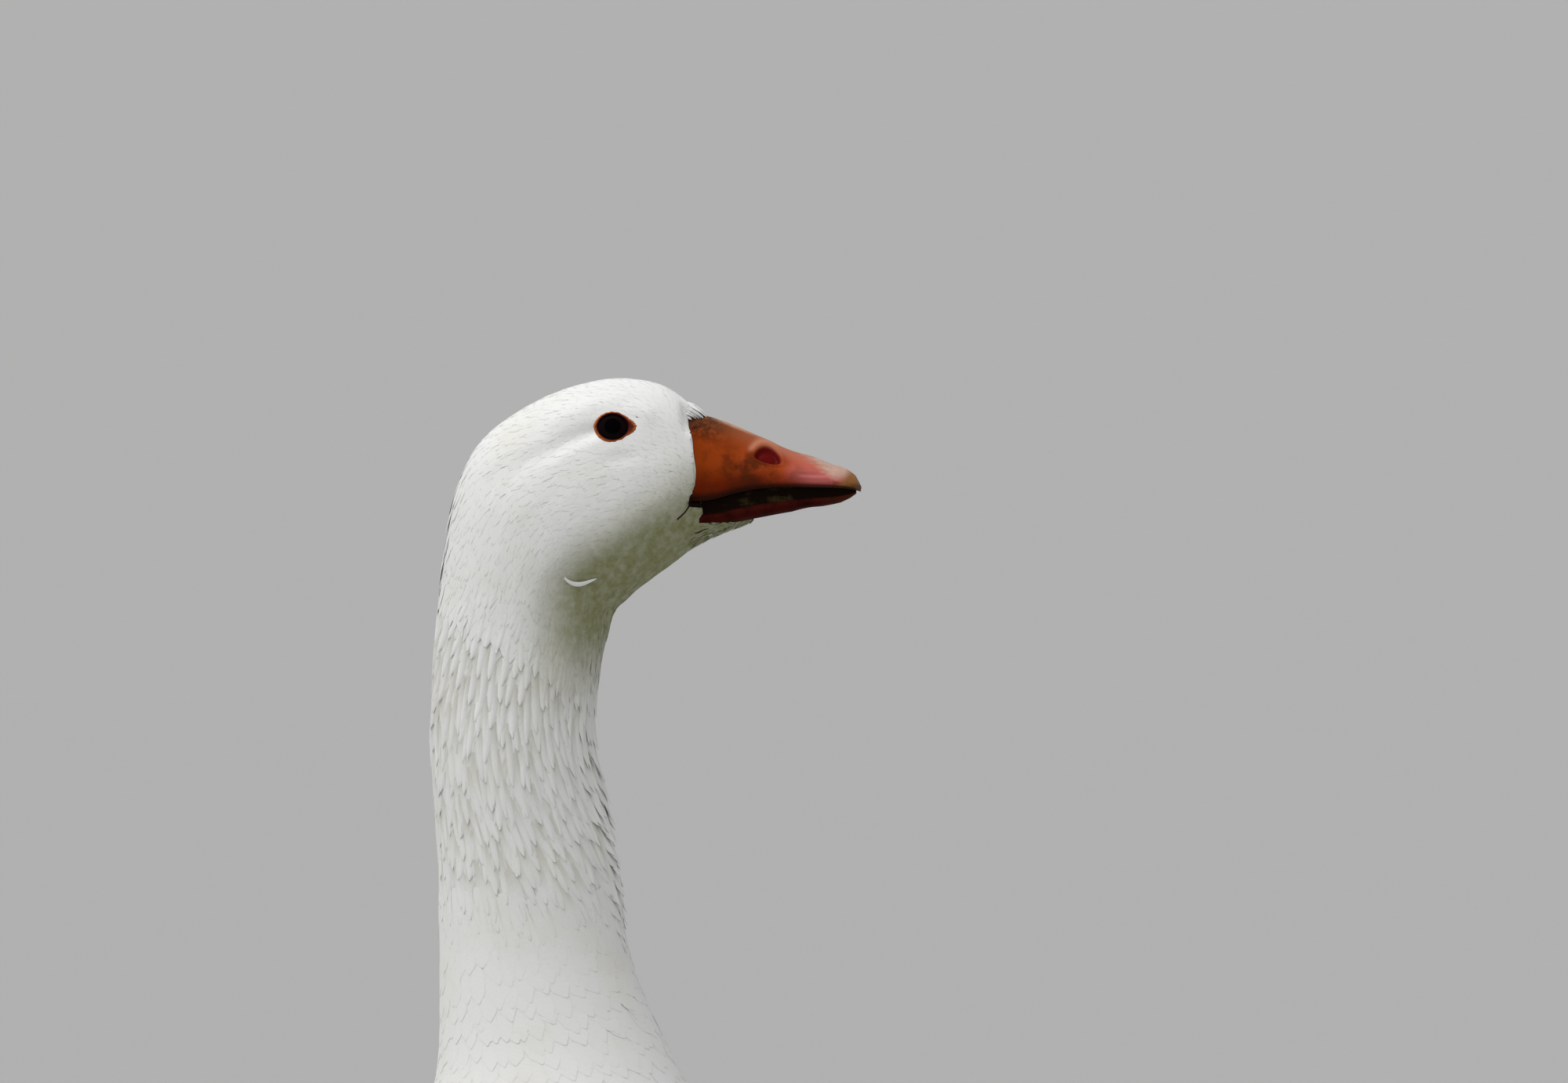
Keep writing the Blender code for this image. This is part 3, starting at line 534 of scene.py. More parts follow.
def tube_rings(centres, radii, segments, along):
    """Elliptic rings square to a direction. radii are fore-and-aft by sideways, a pair for each ring."""
    along = unit(np.asarray(along, float))
    sideways = np.array([0.0, 1.0, 0.0])
    forward = unit(np.cross(sideways, along))
    angle = full_turn(segments)
    centres, radii = np.asarray(centres, float), np.asarray(radii, float)
    return (
        centres[:, None, :]
        + radii[:, 0, None, None] * np.cos(angle)[None, :, None] * forward
        + radii[:, 1, None, None] * np.sin(angle)[None, :, None] * sideways
    )


# Vanes.


def pointed(share):
    """Half-width of a narrow tuft along its length: it widens at once and narrows evenly to a point."""
    return np.minimum(1.0, 0.45 + 1.9 * share) * np.sqrt(np.clip(1.0 - share, 0.0, 1.0) ** 1.25 + 0.004)


def rounded(share):
    """Half-width of a contour feather: even, with a round end."""
    end = np.clip((share - 0.52) / 0.48, 0.0, 1.0)
    return np.minimum(1.0, 0.5 + 1.6 * share) * np.sqrt(np.clip(1.0 - end**2.2, 0.0, 1.0) + 0.003)


def quill(share):
    """Half-width of a flight feather: a long even vane with a blunt round end."""
    end = np.clip((share - 0.78) / 0.22, 0.0, 1.0)
    return np.minimum(1.0, 0.25 + 2.2 * share) * np.sqrt(np.clip(1.0 - end**2.4, 0.0, 1.0) + 0.003)


def primary(share):
    """Half-width of a primary: broad in its first half and drawn in to a blunt point."""
    end = np.clip((share - 0.45) / 0.55, 0.0, 1.0)
    return np.minimum(1.0, 0.3 + 2.2 * share) * np.sqrt(np.clip(1.0 - end**1.7, 0.0, 1.0) + 0.003)


def lay_vanes(surface, p, q, sizes, outline, steps, across, rise_power):
    """Vanes laid along a surface. Each starts at (p, q) and runs for its length in its heading, turned from
    the p direction towards the q direction, and bent by curl along it. With s from 0 to 1 along it and c from
    -1 to 1 across it, a point lies width/2 x outline(s) x c beside the middle line, raised along the normal
    by rise(s) - arch x width x outline(s) x c^2. rise goes from -depth to tip as s^rise_power."""
    heading, length, width, depth, tip, arch, curl = (
        np.broadcast_to(np.asarray(size, float), p.shape)[:, None] for size in sizes
    )
    share = np.linspace(0.0, 1.0, steps + 1)[None, :]
    _, _, d_p, d_q = surface.at(p, q)
    scale_p = np.linalg.norm(d_p, axis=-1)[:, None]
    scale_q = np.linalg.norm(d_q, axis=-1)[:, None]
    turn = heading + curl * share * 0.5
    spine_p = p[:, None] + length * share * np.cos(turn) / scale_p
    spine_q = q[:, None] + length * share * np.sin(turn) / scale_q
    _, normal, here_p, here_q = surface.at(spine_p, spine_q)
    facing = np.sign((normal * np.cross(here_q, here_p)).sum(axis=-1))[..., None]
    near_p = np.linalg.norm(here_p, axis=-1)[..., None]
    near_q = np.sqrt(np.linalg.norm(here_q, axis=-1) * scale_q)[..., None]
    c = np.linspace(-1.0, 1.0, across + 1)[None, None, :]
    half = (width / 2.0 * outline(share))[..., None]
    beside = facing * half * c
    bend = (heading + curl * share)[..., None]
    side_p = spine_p[..., None] + beside * np.sin(bend) / near_p
    side_q = spine_q[..., None] - beside * np.cos(bend) / near_q
    point, normal, _, _ = surface.at(side_p, side_q)
    height = (-depth + (depth + tip) * share**rise_power)[..., None] - arch[..., None] * 2.0 * half * c**2
    return point + normal * height[..., None]


def vane_faces(count, steps, across):
    """Quads of count grids of points, facing the way of the vanes' normal."""
    index = np.arange(count * (steps + 1) * (across + 1)).reshape(count, steps + 1, across + 1)
    quads = [index[:, :-1, :-1], index[:, 1:, :-1], index[:, 1:, 1:], index[:, :-1, 1:]]
    return np.stack(quads, axis=-1).reshape(-1, 4)


BAKE_PATCH = 0.003


def coat_object(name, material, batches, seed):
    """One mesh of vanes. A batch is a grid of points in millimetres, the roots' places on the unwrap, whether
    it is mirrored, and perhaps its lowest and highest tint. Each vane gets a patch at its root's place in the
    map OFBake, a whole square in the map vane, and one random number in the attribute tint."""
    rng = np.random.default_rng(seed)
    points, faces, bake, vane, tint, start = [], [], [], [], [], 0
    for grid, roots, mirrored, *tone in batches:
        low, high = tone[0] if tone else (0.0, 1.0)
        count, rows, columns = grid.shape[:3]
        quads = vane_faces(count, rows - 1, columns - 1)
        if mirrored:
            grid = grid * np.array([1.0, -1.0, 1.0])
            quads = quads[:, ::-1]
        s = np.broadcast_to(np.linspace(0.0, 1.0, rows)[None, :, None], (count, rows, columns))
        c = np.broadcast_to(np.linspace(0.0, 1.0, columns)[None, None, :], (count, rows, columns))
        place = np.stack([c, s], axis=-1)
        patch = roots[:, None, None, :] + BAKE_PATCH * (place - 0.5)
        bake.append(patch.reshape(-1, 2)[quads.ravel()])
        vane.append(place.reshape(-1, 2)[quads.ravel()])
        tint.append(np.repeat(low + (high - low) * rng.random(count), rows * columns))
        points.append(grid.reshape(-1, 3))
        faces.append(quads + start)
        start += count * rows * columns
    piece = make_object(name, to_world(np.concatenate(points)), np.concatenate(faces), material)
    set_uv(piece.data, "OFBake", np.concatenate(bake))
    set_uv(piece.data, "vane", np.concatenate(vane))
    set_values(piece.data, "tint", np.concatenate(tint))
    return piece


def ring_length(t):
    """Length of the body's ring at each t."""
    angle = np.linspace(0.0, 2.0 * math.pi, 65)
    ring = body_points(np.asarray(t, float)[:, None], angle)
    return np.linalg.norm(np.diff(ring, axis=1), axis=-1).sum(axis=1)


def side_length(t):
    """Length along the side of the body from section 0 to each t."""
    fine = np.linspace(0.0, len(ROWS) - 1.0, 1200)
    side = body_points(fine, np.full_like(fine, math.pi / 2.0))
    walked = np.concatenate([[0.0], np.cumsum(np.linalg.norm(np.diff(side, axis=0), axis=-1))])
    return np.interp(t, fine, walked)


def brick_roots(start, end, gap_along, gap_across, rng, jitter):
    """Roots over the body from section start to end, in rows like bricks, gap_along(t) between rows and
    gap_across(t) between roots. Returns t, angle and the rows' spacing in t."""
    fine = np.linspace(start, end, 2000)
    pace = np.gradient(side_length(fine), fine) / gap_along(fine)
    number = np.concatenate([[0.0], np.cumsum((pace[1:] + pace[:-1]) / 2.0 * np.diff(fine))])
    rows = np.interp(np.arange(int(number[-1]) + 1) + 0.5, number, fine)
    counts = np.maximum(8, np.round(ring_length(rows) / gap_across(rows))).astype(int)
    t = np.repeat(rows, counts)
    shift = np.repeat(np.arange(len(rows)) % 2 * 0.5, counts)
    place = np.concatenate([np.arange(count) for count in counts]) + shift
    step_angle = 2.0 * math.pi / np.repeat(counts, counts)
    step_t = np.interp(t, fine, 1.0 / pace)
    angle = (place + rng.uniform(-jitter, jitter, len(t))) * step_angle
    t = t + rng.uniform(-jitter, jitter, len(t)) * step_t
    return np.clip(t, start, end), np.mod(angle, 2.0 * math.pi), step_t


def folded_angle(angle):
    """Angle from the back line, 0 to pi, and the sign of its side: 1 on the left, -1 on the right."""
    left = angle <= math.pi
    return np.where(left, angle, 2.0 * math.pi - angle), np.where(left, 1.0, -1.0)


# Materials.


class Tree:
    """Short ways of adding nodes to a node tree. A value may be a number, a colour of three numbers or a
    socket."""

    def __init__(self, tree):
        self.tree = tree

    def put(self, socket, value):
        if isinstance(value, bpy.types.NodeSocket):
            self.tree.links.new(value, socket)
        else:
            socket.default_value = (*value, 1.0) if socket.type == "RGBA" else value

    def add(self, kind, values=(), **settings):
        node = self.tree.nodes.new(kind)
        for key, setting in settings.items():
            setattr(node, key, setting)
        for number, value in enumerate(values):
            self.put(node.inputs[number], value)
        return node

    def math(self, operation, *values):
        return self.add("ShaderNodeMath", values, operation=operation).outputs[0]

    def times(self, first, second):
        return self.math("MULTIPLY", first, second)

    def plus(self, first, second):
        return self.math("ADD", first, second)

    def minus(self, first, second):
        return self.math("SUBTRACT", first, second)

    def attribute(self, name):
        return self.add("ShaderNodeAttribute", attribute_name=name).outputs["Fac"]

    def mix(self, factor, first, second):
        node = self.add("ShaderNodeMix", data_type="RGBA")
        self.put(node.inputs[0], factor)
        self.put(node.inputs[6], first)
        self.put(node.inputs[7], second)
        return node.outputs[2]

    def between(self, value, low, high):
        """0 at low to 1 at high, held outside."""
        node = self.add("ShaderNodeMapRange", (value, low, high, 0.0, 1.0), interpolation_type="SMOOTHSTEP")
        return node.outputs[0]

    def place(self, scale=(1.0, 1.0, 1.0)):
        """Object coordinates in millimetres from the neck's axis, scaled."""
        where = self.add("ShaderNodeTexCoord").outputs["Object"]
        node = self.add("ShaderNodeMapping", vector_type="POINT")
        self.put(node.inputs["Vector"], where)
        node.inputs["Scale"].default_value = [1000.0 * value for value in scale]
        node.inputs["Location"].default_value = (-NECK_X * scale[0], 0.0, 0.0)
        return node.outputs[0]

    def noise(self, vector, scale, detail=3.0, roughness=0.55):
        node = self.add("ShaderNodeTexNoise")
        self.put(node.inputs["Vector"], vector)
        node.inputs["Scale"].default_value = scale
        node.inputs["Detail"].default_value = detail
        node.inputs["Roughness"].default_value = roughness
        return node.outputs["Fac"]

    def cells(self, vector, scale):
        node = self.add("ShaderNodeTexVoronoi")
        self.put(node.inputs["Vector"], vector)
        node.inputs["Scale"].default_value = scale
        return node.outputs["Distance"]

    def colours(self, factor, stops, interpolation="EASE"):
        node = self.add("ShaderNodeValToRGB", (factor,))
        node.color_ramp.interpolation = interpolation
        points = node.color_ramp.elements
        while len(points) < len(stops):
            points.new(0.5)
        for point, (position, colour) in zip(points, stops):
            point.position = position
            point.color = (*colour, 1.0)
        return node.outputs[0]

    def apart(self, vector):
        node = self.add("ShaderNodeSeparateXYZ", (vector,))
        return node.outputs[0], node.outputs[1], node.outputs[2]

    def group(self, group, **values):
        node = self.add("ShaderNodeGroup", node_tree=group)
        for key, value in values.items():
            self.put(node.inputs[key.replace("_", " ").capitalize()], value)
        return node.outputs


class Finish(Tree):
    """A material with one Principled shader. constants are set on the shader's own sockets."""

    def __init__(self, name, **constants):
        self.material = bpy.data.materials.new(name)
        self.material.use_nodes = True
        super().__init__(self.material.node_tree)
        self.shader = self.tree.nodes["Principled BSDF"]
        for key, value in constants.items():
            self.shader.inputs[key.replace("_", " ").title().replace("Ior", "IOR")].default_value = value

    def wire(self, key, value):
        self.put(self.shader.inputs[key], value)

    def relief(self, height, strength, distance):
        node = self.add("ShaderNodeBump")
        node.inputs["Strength"].default_value = strength
        node.inputs["Distance"].default_value = distance
        self.put(node.inputs["Height"], height)
        self.put(self.shader.inputs["Normal"], node.outputs[0])


def new_group(name, inputs, outputs):
    """An empty node group. inputs and outputs map a socket's name to its kind and default."""
    tree = bpy.data.node_groups.new(name, "ShaderNodeTree")
    kinds = {"value": "NodeSocketFloat", "colour": "NodeSocketColor", "vector": "NodeSocketVector"}
    for key, (kind, default) in inputs.items():
        socket = tree.interface.new_socket(key, in_out="INPUT", socket_type=kinds[kind])
        if default is not None:
            socket.default_value = default
    for key, kind in outputs.items():
        tree.interface.new_socket(key, in_out="OUTPUT", socket_type=kinds[kind])
    entry = tree.nodes.new("NodeGroupInput")
    leave = tree.nodes.new("NodeGroupOutput")
    return Tree(tree), entry.outputs, leave.inputs


def barbs_group():
    """The parallel barbs of a vane as a wave over along - slant x away from the shaft, with the shaft as a
    low ridge. Gives the height and a mask of the shaft."""
    tree, given, out = new_group(
        "Barbs",
        {
            "Across": ("value", 0.5),
            "Along": ("value", 0.5),
            "Count": ("value", 40.0),
            "Slant": ("value", 0.5),
        },
        {"Height": "value", "Shaft": "value"},
    )
    away = tree.math("ABSOLUTE", tree.minus(given["Across"], 0.5))
    line = tree.minus(given["Along"], tree.times(away, given["Slant"]))
    wave = tree.math("SINE", tree.times(tree.times(line, given["Count"]), 6.2832))
    shaft = tree.minus(1.0, tree.between(away, 0.015, 0.05))
    height = tree.plus(tree.times(wave, 0.5), tree.times(shaft, 1.5))
    tree.put(out["Height"], height)
    tree.put(out["Shaft"], shaft)
    return tree.tree


def stains_and_throat_shade_group():
    """Uneven wear of the white plumage: faint cream patches, and a dark olive under the jaw and on the
    throat, below a line that rises forwards, which is partly stain and partly painted shade with a painted
    green tint of reflected light."""
    tree, given, out = new_group(
        "Plumage stains and throat shade",
        {"Colour": ("colour", (0.8, 0.8, 0.78, 1.0)), "Amount": ("value", 1.0)},
        {"Colour": "colour"},
    )
    place = tree.place()
    x, _, z = tree.apart(place)
    patches = tree.noise(place, 0.045, 4.0)
    cream = tree.times(tree.between(patches, 0.45, 0.72), given["Amount"])
    colour = tree.mix(tree.times(cream, 0.16), given["Colour"], (0.66, 0.6, 0.42))
    slope = tree.times(tree.minus(x, 12.0), 0.6)
    under = tree.between(tree.minus(z, tree.plus(slope, 604.0)), 17.0, -9.0)
    front = tree.times(tree.times(under, tree.between(z, 552.0, 590.0)), tree.between(x, -2.0, 26.0))
    mottle = tree.between(tree.noise(tree.place((0.3, 0.3, 0.3)), 1.0, 5.0, 0.6), 0.25, 0.7)
    spread = tree.times(front, tree.plus(0.78, tree.times(mottle, 0.22)))
    spread = tree.times(spread, given["Amount"])
    # Dark olive under jaw and throat: partly stain, partly painted shade with painted green reflected light.
    stained_and_shaded = tree.mix(tree.times(spread, 0.95), colour, (0.2, 0.205, 0.06))
    tree.put(out["Colour"], stained_and_shaded)
    return tree.tree


def shared(name, maker):
    """A node group, made the first time that it is asked for."""
    return bpy.data.node_groups.get(name) or maker()


def plumage(name, white, root, count, slant, strength, variation, edge):
    """White feather with barbs: each vane lighter or darker by its tint, and greyer at its root and over a
    share of its width of twice edge on each side, a painted shade of the furrows between vanes. Tints above 1
    darken a vane further, a painted shade of the grooves."""
    finish = Finish(name, Roughness=0.82, Specular_ior_level=0.2, Sheen_weight=0.06, Sheen_roughness=0.5)
    uv = finish.add("ShaderNodeUVMap", uv_map="vane").outputs[0]
    across, along, _ = finish.apart(uv)
    tint = finish.attribute("tint")
    beside = finish.math("ABSOLUTE", finish.minus(across, 0.5))
    # Greyer at the root and along both edges: painted shade of the furrows between overlapping vanes.
    shade = finish.times(finish.between(along, 0.0, 0.75), finish.between(beside, 0.5 + edge, 0.5 - edge))
    colour = finish.mix(shade, root, white)
    # Tints above 1, which only the neck's under-coat has, darken a vane further: painted shade in the
    # grooves.
    darker = finish.times(finish.math("MAXIMUM", tint, 0.0), variation)
    colour = finish.mix(darker, colour, (0.45, 0.43, 0.36))
    clean = finish.between(tint, -0.9, -0.1)
    stained_and_shaded = finish.group(shared("Plumage stains and throat shade", stains_and_throat_shade_group), colour=colour, amount=clean)["Colour"]
    finish.wire("Base Color", stained_and_shaded)
    out = finish.group(shared("Barbs", barbs_group), across=across, along=along, count=count, slant=slant)
    finish.relief(out["Height"], strength, 0.0002)
    finish.wire("Roughness", finish.minus(0.9, finish.times(out["Shaft"], 0.25)))
    return finish.material


def down_finish(white):
    """The skin under the vanes: matted white down with soft tangled streaks."""
    finish = Finish(
        "White down", Roughness=0.9, Sheen_weight=0.06, Sheen_roughness=0.5, Specular_ior_level=0.15
    )
    place = finish.place((0.9, 0.9, 0.35))
    streaks = finish.noise(place, 0.8, 4.0)
    colour = finish.mix(streaks, tuple(0.8 * value for value in white), white)
    stained_and_shaded = finish.group(shared("Plumage stains and throat shade", stains_and_throat_shade_group), colour=colour, amount=1.0)["Colour"]
    finish.wire("Base Color", stained_and_shaded)
    finish.relief(streaks, 0.6, 0.0006)
    return finish.material


def keratin_group():
    """Mottling of bill, nail and claw: broad blotches and fine pores. Amounts in, masks and a height out."""
    tree, given, out = new_group(
        "Keratin",
        {"Blotch size": ("value", 6.0), "Grain": ("value", 1.0)},
        {"Blotches": "value", "Pores": "value", "Height": "value"},
    )
    place = tree.place()
    scaled = tree.add("ShaderNodeVectorMath", (place,), operation="DIVIDE")
    tree.put(scaled.inputs[1], given["Blotch size"])
    blotches = tree.between(tree.noise(scaled.outputs[0], 1.0, 3.0), 0.38, 0.66)
    fine = tree.noise(place, 1.6, 4.0, 0.65)
    pores = tree.between(tree.cells(place, 1.1), 0.32, 0.08)
    height = tree.plus(tree.times(fine, given["Grain"]), tree.times(pores, -0.5))
    tree.put(out["Blotches"], blotches)
    tree.put(out["Pores"], pores)
    tree.put(out["Height"], height)
    return tree.tree


def bill_finish(base, mid, front, ridge):
    """Orange bill: darker below, partly its own colour and partly painted shade; along the ridge brown at its
    root and lighter in front, a painted highlight, with a painted pale line on its top; pinkish towards the
    nail, mottled brown at the ridge's root, with dark blotches along the side, and a wet red nostril, its pit
    darkened with painted shade, under a pale band that is partly paler horn and partly painted highlight."""
    finish = Finish(
        "Orange bill", Roughness=0.42, Coat_weight=0.0, Coat_roughness=0.22, Specular_ior_level=0.03
    )
    x, _, _ = finish.apart(finish.place())
    out = finish.group(shared("Keratin", keratin_group), blotch_size=5.5, grain=1.0)
    upper = finish.attribute("height")
    run = finish.between(x, 60.0, 112.0)
    side = finish.colours(run, ((0.0, base), (0.3, mid), (0.6, mid), (0.86, front)))
    # Darker colours for the lower side: partly the horn's own and partly painted shade, turned from the
    # light.
    stops = (
        (0.0, (0.15, 0.014, 0.001)),
        (0.35, (0.08, 0.008, 0.001)),
        (0.6, (0.22, 0.026, 0.006)),
        (0.9, (0.24, 0.035, 0.02)),
    )
    lower = finish.colours(run, stops)
    # Along the ridge: brown at its root, then lighter to the front, a painted highlight of the lit ridge.
    crest = finish.colours(run, ((0.0, (0.17, 0.045, 0.009)), (0.4, (0.3, 0.08, 0.03)), (0.7, ridge)))
    colour = finish.mix(finish.between(upper, 0.5, 0.12), side, lower)
    colour = finish.mix(finish.between(upper, 0.66, 0.97), colour, crest)
    # A pale line on the very top of the ridge over the nostrils: a painted highlight.
    wear_and_highlight = finish.times(finish.between(upper, 0.95, 0.995), bell(finish, x, 75.0, 6.5))
    colour = finish.mix(finish.times(wear_and_highlight, 0.75), colour, (0.6, 0.33, 0.22))
    pink = finish.times(bell(finish, upper, 0.34, 0.2), bell(finish, x, 103.0, 6.5))
    colour = finish.mix(finish.times(pink, 0.7), colour, (0.46, 0.12, 0.13))
    patch = finish.times(out["Blotches"], finish.between(upper, 0.85, 0.5))
    patch = finish.times(patch, bell(finish, x, 80.0, 13.0))
    colour = finish.mix(finish.times(patch, 0.8), colour, (0.06, 0.012, 0.003))
    mottle = finish.between(finish.noise(finish.place((0.4, 0.4, 0.4)), 1.0, 4.0, 0.7), 0.36, 0.56)
    root = finish.times(finish.between(upper, 0.6, 0.84), finish.between(x, 76.0, 65.0))
    colour = finish.mix(finish.times(finish.times(mottle, root), 0.8), colour, (0.045, 0.012, 0.004))
    # Paler over the nostril's rim: partly paler horn and partly painted highlight.
    rim = finish.attribute("rim")
    colour = finish.mix(finish.times(rim, 0.5), colour, (0.6, 0.27, 0.17))
    # The nostril's pit in near-black red: the lining's red and painted shade of the opening.
    pit = finish.attribute("pit")
    colour = finish.mix(pit, colour, (0.11, 0.0015, 0.0015))
    finish.wire("Base Color", nail_colours(finish, colour, upper))
    finish.relief(out["Height"], 0.4, 0.0002)
    gloss = finish.times(finish.between(upper, 0.75, 1.0), 0.3)
    gloss = finish.plus(gloss, finish.times(finish.between(x, 92.0, 104.0), 0.22))
    finish.wire("Coat Weight", finish.math("MAXIMUM", gloss, finish.times(pit, 0.06)))
    rough = finish.plus(0.4, finish.times(out["Blotches"], 0.16))
    finish.wire("Roughness", rough)
    return finish.material


def bell(tree, value, middle, width):
    """1 at the middle, falling smoothly to 0 at twice the width away."""
    away = tree.math("ABSOLUTE", tree.minus(value, middle))
    return tree.between(away, 2.0 * width, 0.0)


def lower_bill_finish():
    """The lower bill: a near-black band of comb plates, partly their dark horn and partly painted shade of
    the gap under the upper bill, with olive on the plates, partly horn and partly painted highlight, and dark
    maroon horn below.
    """
    finish = Finish("Lower bill", Roughness=0.55, Specular_ior_level=0.02)
    x, _, _ = finish.apart(finish.place())
    out = finish.group(shared("Keratin", keratin_group), blotch_size=5.0, grain=0.8)
    band = finish.attribute("band")
    comb = finish.attribute("comb")
    horn = finish.mix(out["Blotches"], (0.05, 0.005, 0.003), (0.024, 0.003, 0.002))
    tipward = finish.between(x, 100.0, 114.0)
    horn = finish.mix(finish.times(tipward, 0.45), horn, (0.09, 0.025, 0.01))
    uneven = finish.between(finish.noise(finish.place((0.13, 0.2, 0.4)), 1.0, 2.0), 0.5, 0.68)
    middle = finish.times(finish.between(x, 70.0, 80.0), finish.between(x, 104.0, 90.0))
    olive = finish.times(finish.times(finish.plus(0.55, finish.times(comb, 0.35)), uneven), middle)
    # Near-black band: dark horn and painted shade under the upper bill; olive on it partly painted highlight.
    shaded_comb_colour = finish.mix(olive, (0.008, 0.004, 0.002), (0.05, 0.034, 0.013))
    finish.wire("Base Color", finish.mix(band, horn, shaded_comb_colour))
    finish.relief(out["Height"], 0.3, 0.0002)
    return finish.material


def nail_colours(finish, colour, upper):
    """The bill's colour with its worn pale front and its nail, going over into brown at the tip, and dark
    along the cutting edge, near-black at its lowest: partly dark horn and partly painted shade where the edge
    turns under. Their limits are slanting lines in the side view."""
    x, _, z = finish.apart(finish.place())
    streaks = finish.noise(finish.place((0.25, 0.9, 0.9)), 1.0, 3.0)
    shift = finish.times(finish.minus(streaks, 0.5), 7.0)
    pale = finish.mix(streaks, (0.43, 0.26, 0.2), (0.58, 0.41, 0.34))
    slope = finish.times(finish.minus(z, 640.0), 1.1)
    wear_and_highlight = finish.between(finish.plus(finish.plus(x, slope), shift), 101.5, 107.5)
    wear_and_highlight = finish.times(wear_and_highlight, finish.between(z, 634.6, 639.2))
    colour = finish.mix(finish.times(wear_and_highlight, 0.9), colour, pale)
    down = finish.minus(z, finish.times(finish.minus(x, 112.0), 1.1))
    brown = finish.mix(streaks, (0.2, 0.075, 0.018), (0.34, 0.15, 0.05))
    nail = finish.times(finish.between(down, 638.8, 633.6), finish.between(x, 106.0, 111.5))
    colour = finish.mix(nail, colour, brown)
    rim = finish.times(finish.between(z, 635.4, 633.4), finish.between(x, 108.0, 113.0))
    colour = finish.mix(finish.times(rim, 0.75), colour, (0.07, 0.022, 0.004))
    # Near-black by the cutting edge: partly dark horn and partly painted shade where the edge turns under.
    return finish.mix(finish.times(finish.between(upper, 0.13, 0.02), 0.9), colour, (0.016, 0.005, 0.003))


def nail_finish():
    """The nail's horn: its colours carry on from the bill's front without a break."""
    finish = Finish("Pale nail", Roughness=0.4, Specular_ior_level=0.08)
    out = finish.group(shared("Keratin", keratin_group), blotch_size=3.0, grain=0.6)
    upper = finish.attribute("height")
    stops = ((0.0, (0.24, 0.035, 0.02)), (0.35, (0.46, 0.12, 0.11)), (0.8, (0.46, 0.16, 0.11)))
    front = finish.colours(finish.between(upper, 0.1, 0.75), stops)
    finish.wire("Base Color", nail_colours(finish, front, upper))
    finish.relief(out["Height"], 0.3, 0.0002)
    return finish.material


def eye_finish():
    """The eyeball: a nearly black brown iris round a black pupil."""
    finish = Finish("Dark eye", Roughness=0.12, Coat_weight=0.0, Specular_ior_level=0.0)
    away = finish.attribute("away")
    fibres = finish.noise(finish.place(), 2.4, 3.0)
    iris = finish.mix(fibres, (0.003, 0.002, 0.002), (0.01, 0.005, 0.006))
    colour = finish.mix(finish.between(away, 0.36, 0.44), (0.0015, 0.001, 0.001), iris)
    finish.wire("Base Color", finish.mix(finish.between(away, 0.72, 0.86), colour, (0.006, 0.002, 0.001)))
    return finish.material


def lid_finish():
    """The bare ring round the eye: dark red-brown at its inner edge, orange on its crest, tan outside."""
    finish = Finish("Eye ring", Roughness=0.5, Specular_ior_level=0.1)
    uv = finish.add("ShaderNodeUVMap", uv_map="ring").outputs[0]
    _, out_from, _ = finish.apart(uv)
    stops = (
        (0.0, (0.004, 0.001, 0.001)),
        (0.18, (0.018, 0.002, 0.001)),
        (0.34, (0.17, 0.025, 0.005)),
        (0.52, (0.4, 0.1, 0.018)),
        (0.7, (0.38, 0.12, 0.035)),
        (0.78, (0.42, 0.33, 0.26)),
    )
    colour = finish.colours(out_from, stops, "LINEAR")
    wrinkles = finish.noise(finish.place(), 2.2, 3.0)
    colour = finish.mix(finish.times(finish.between(wrinkles, 0.5, 0.75), 0.35), colour, (0.13, 0.03, 0.01))
    corner = finish.attribute("corner")
    colour = finish.mix(finish.times(corner, 0.85), colour, (0.06, 0.005, 0.003))
    finish.wire("Base Color", colour)
    finish.relief(wrinkles, 0.5, 0.0003)
    return finish.material


def leg_finish(orange, pale):
    """Orange leg skin in small rounded scales, broad plates down the front, dirt between them and
    underneath."""
    finish = Finish("Orange leg", Roughness=0.5, Coat_weight=0.06, Coat_roughness=0.4)
    place = finish.place()
    _, _, z = finish.apart(place)
    cells = finish.cells(place, 0.55)
    small = finish.cells(place, 1.1)
    scale = finish.between(cells, 0.62, 0.3)
    broad = finish.noise(place, 0.05, 3.0)
    colour = finish.mix(broad, orange, pale)
    colour = finish.mix(finish.times(finish.between(cells, 0.45, 0.75), 0.6), colour, (0.2, 0.045, 0.012))
    low = finish.between(z, 9.0, 0.0)
    ground = finish.times(low, finish.between(finish.noise(place, 0.12, 3.0), 0.3, 0.7))
    colour = finish.mix(finish.times(ground, 0.7), colour, (0.13, 0.075, 0.035))
    finish.wire("Base Color", colour)
    height = finish.plus(scale, finish.times(finish.between(small, 0.6, 0.3), 0.35))
    finish.relief(height, 0.75, 0.0006)
    rough = finish.plus(0.42, finish.times(broad, 0.2))
    finish.wire("Roughness", rough)
    return finish.material


def claw_finish():
    """Claws: brown-grey horn, streaked along the toe."""
    finish = Finish("Horn claw", Roughness=0.38, Coat_weight=0.1, Coat_roughness=0.3)
    streaks = finish.noise(finish.place((0.3, 1.5, 1.5)), 0.9, 3.0)
    out = finish.group(shared("Keratin", keratin_group), blotch_size=4.0, grain=0.8)
    colour = finish.mix(streaks, (0.2, 0.12, 0.07), (0.34, 0.23, 0.15))
    finish.wire("Base Color", finish.mix(finish.times(out["Blotches"], 0.5), colour, (0.08, 0.05, 0.03)))
    finish.relief(streaks, 0.3, 0.0003)
    return finish.material


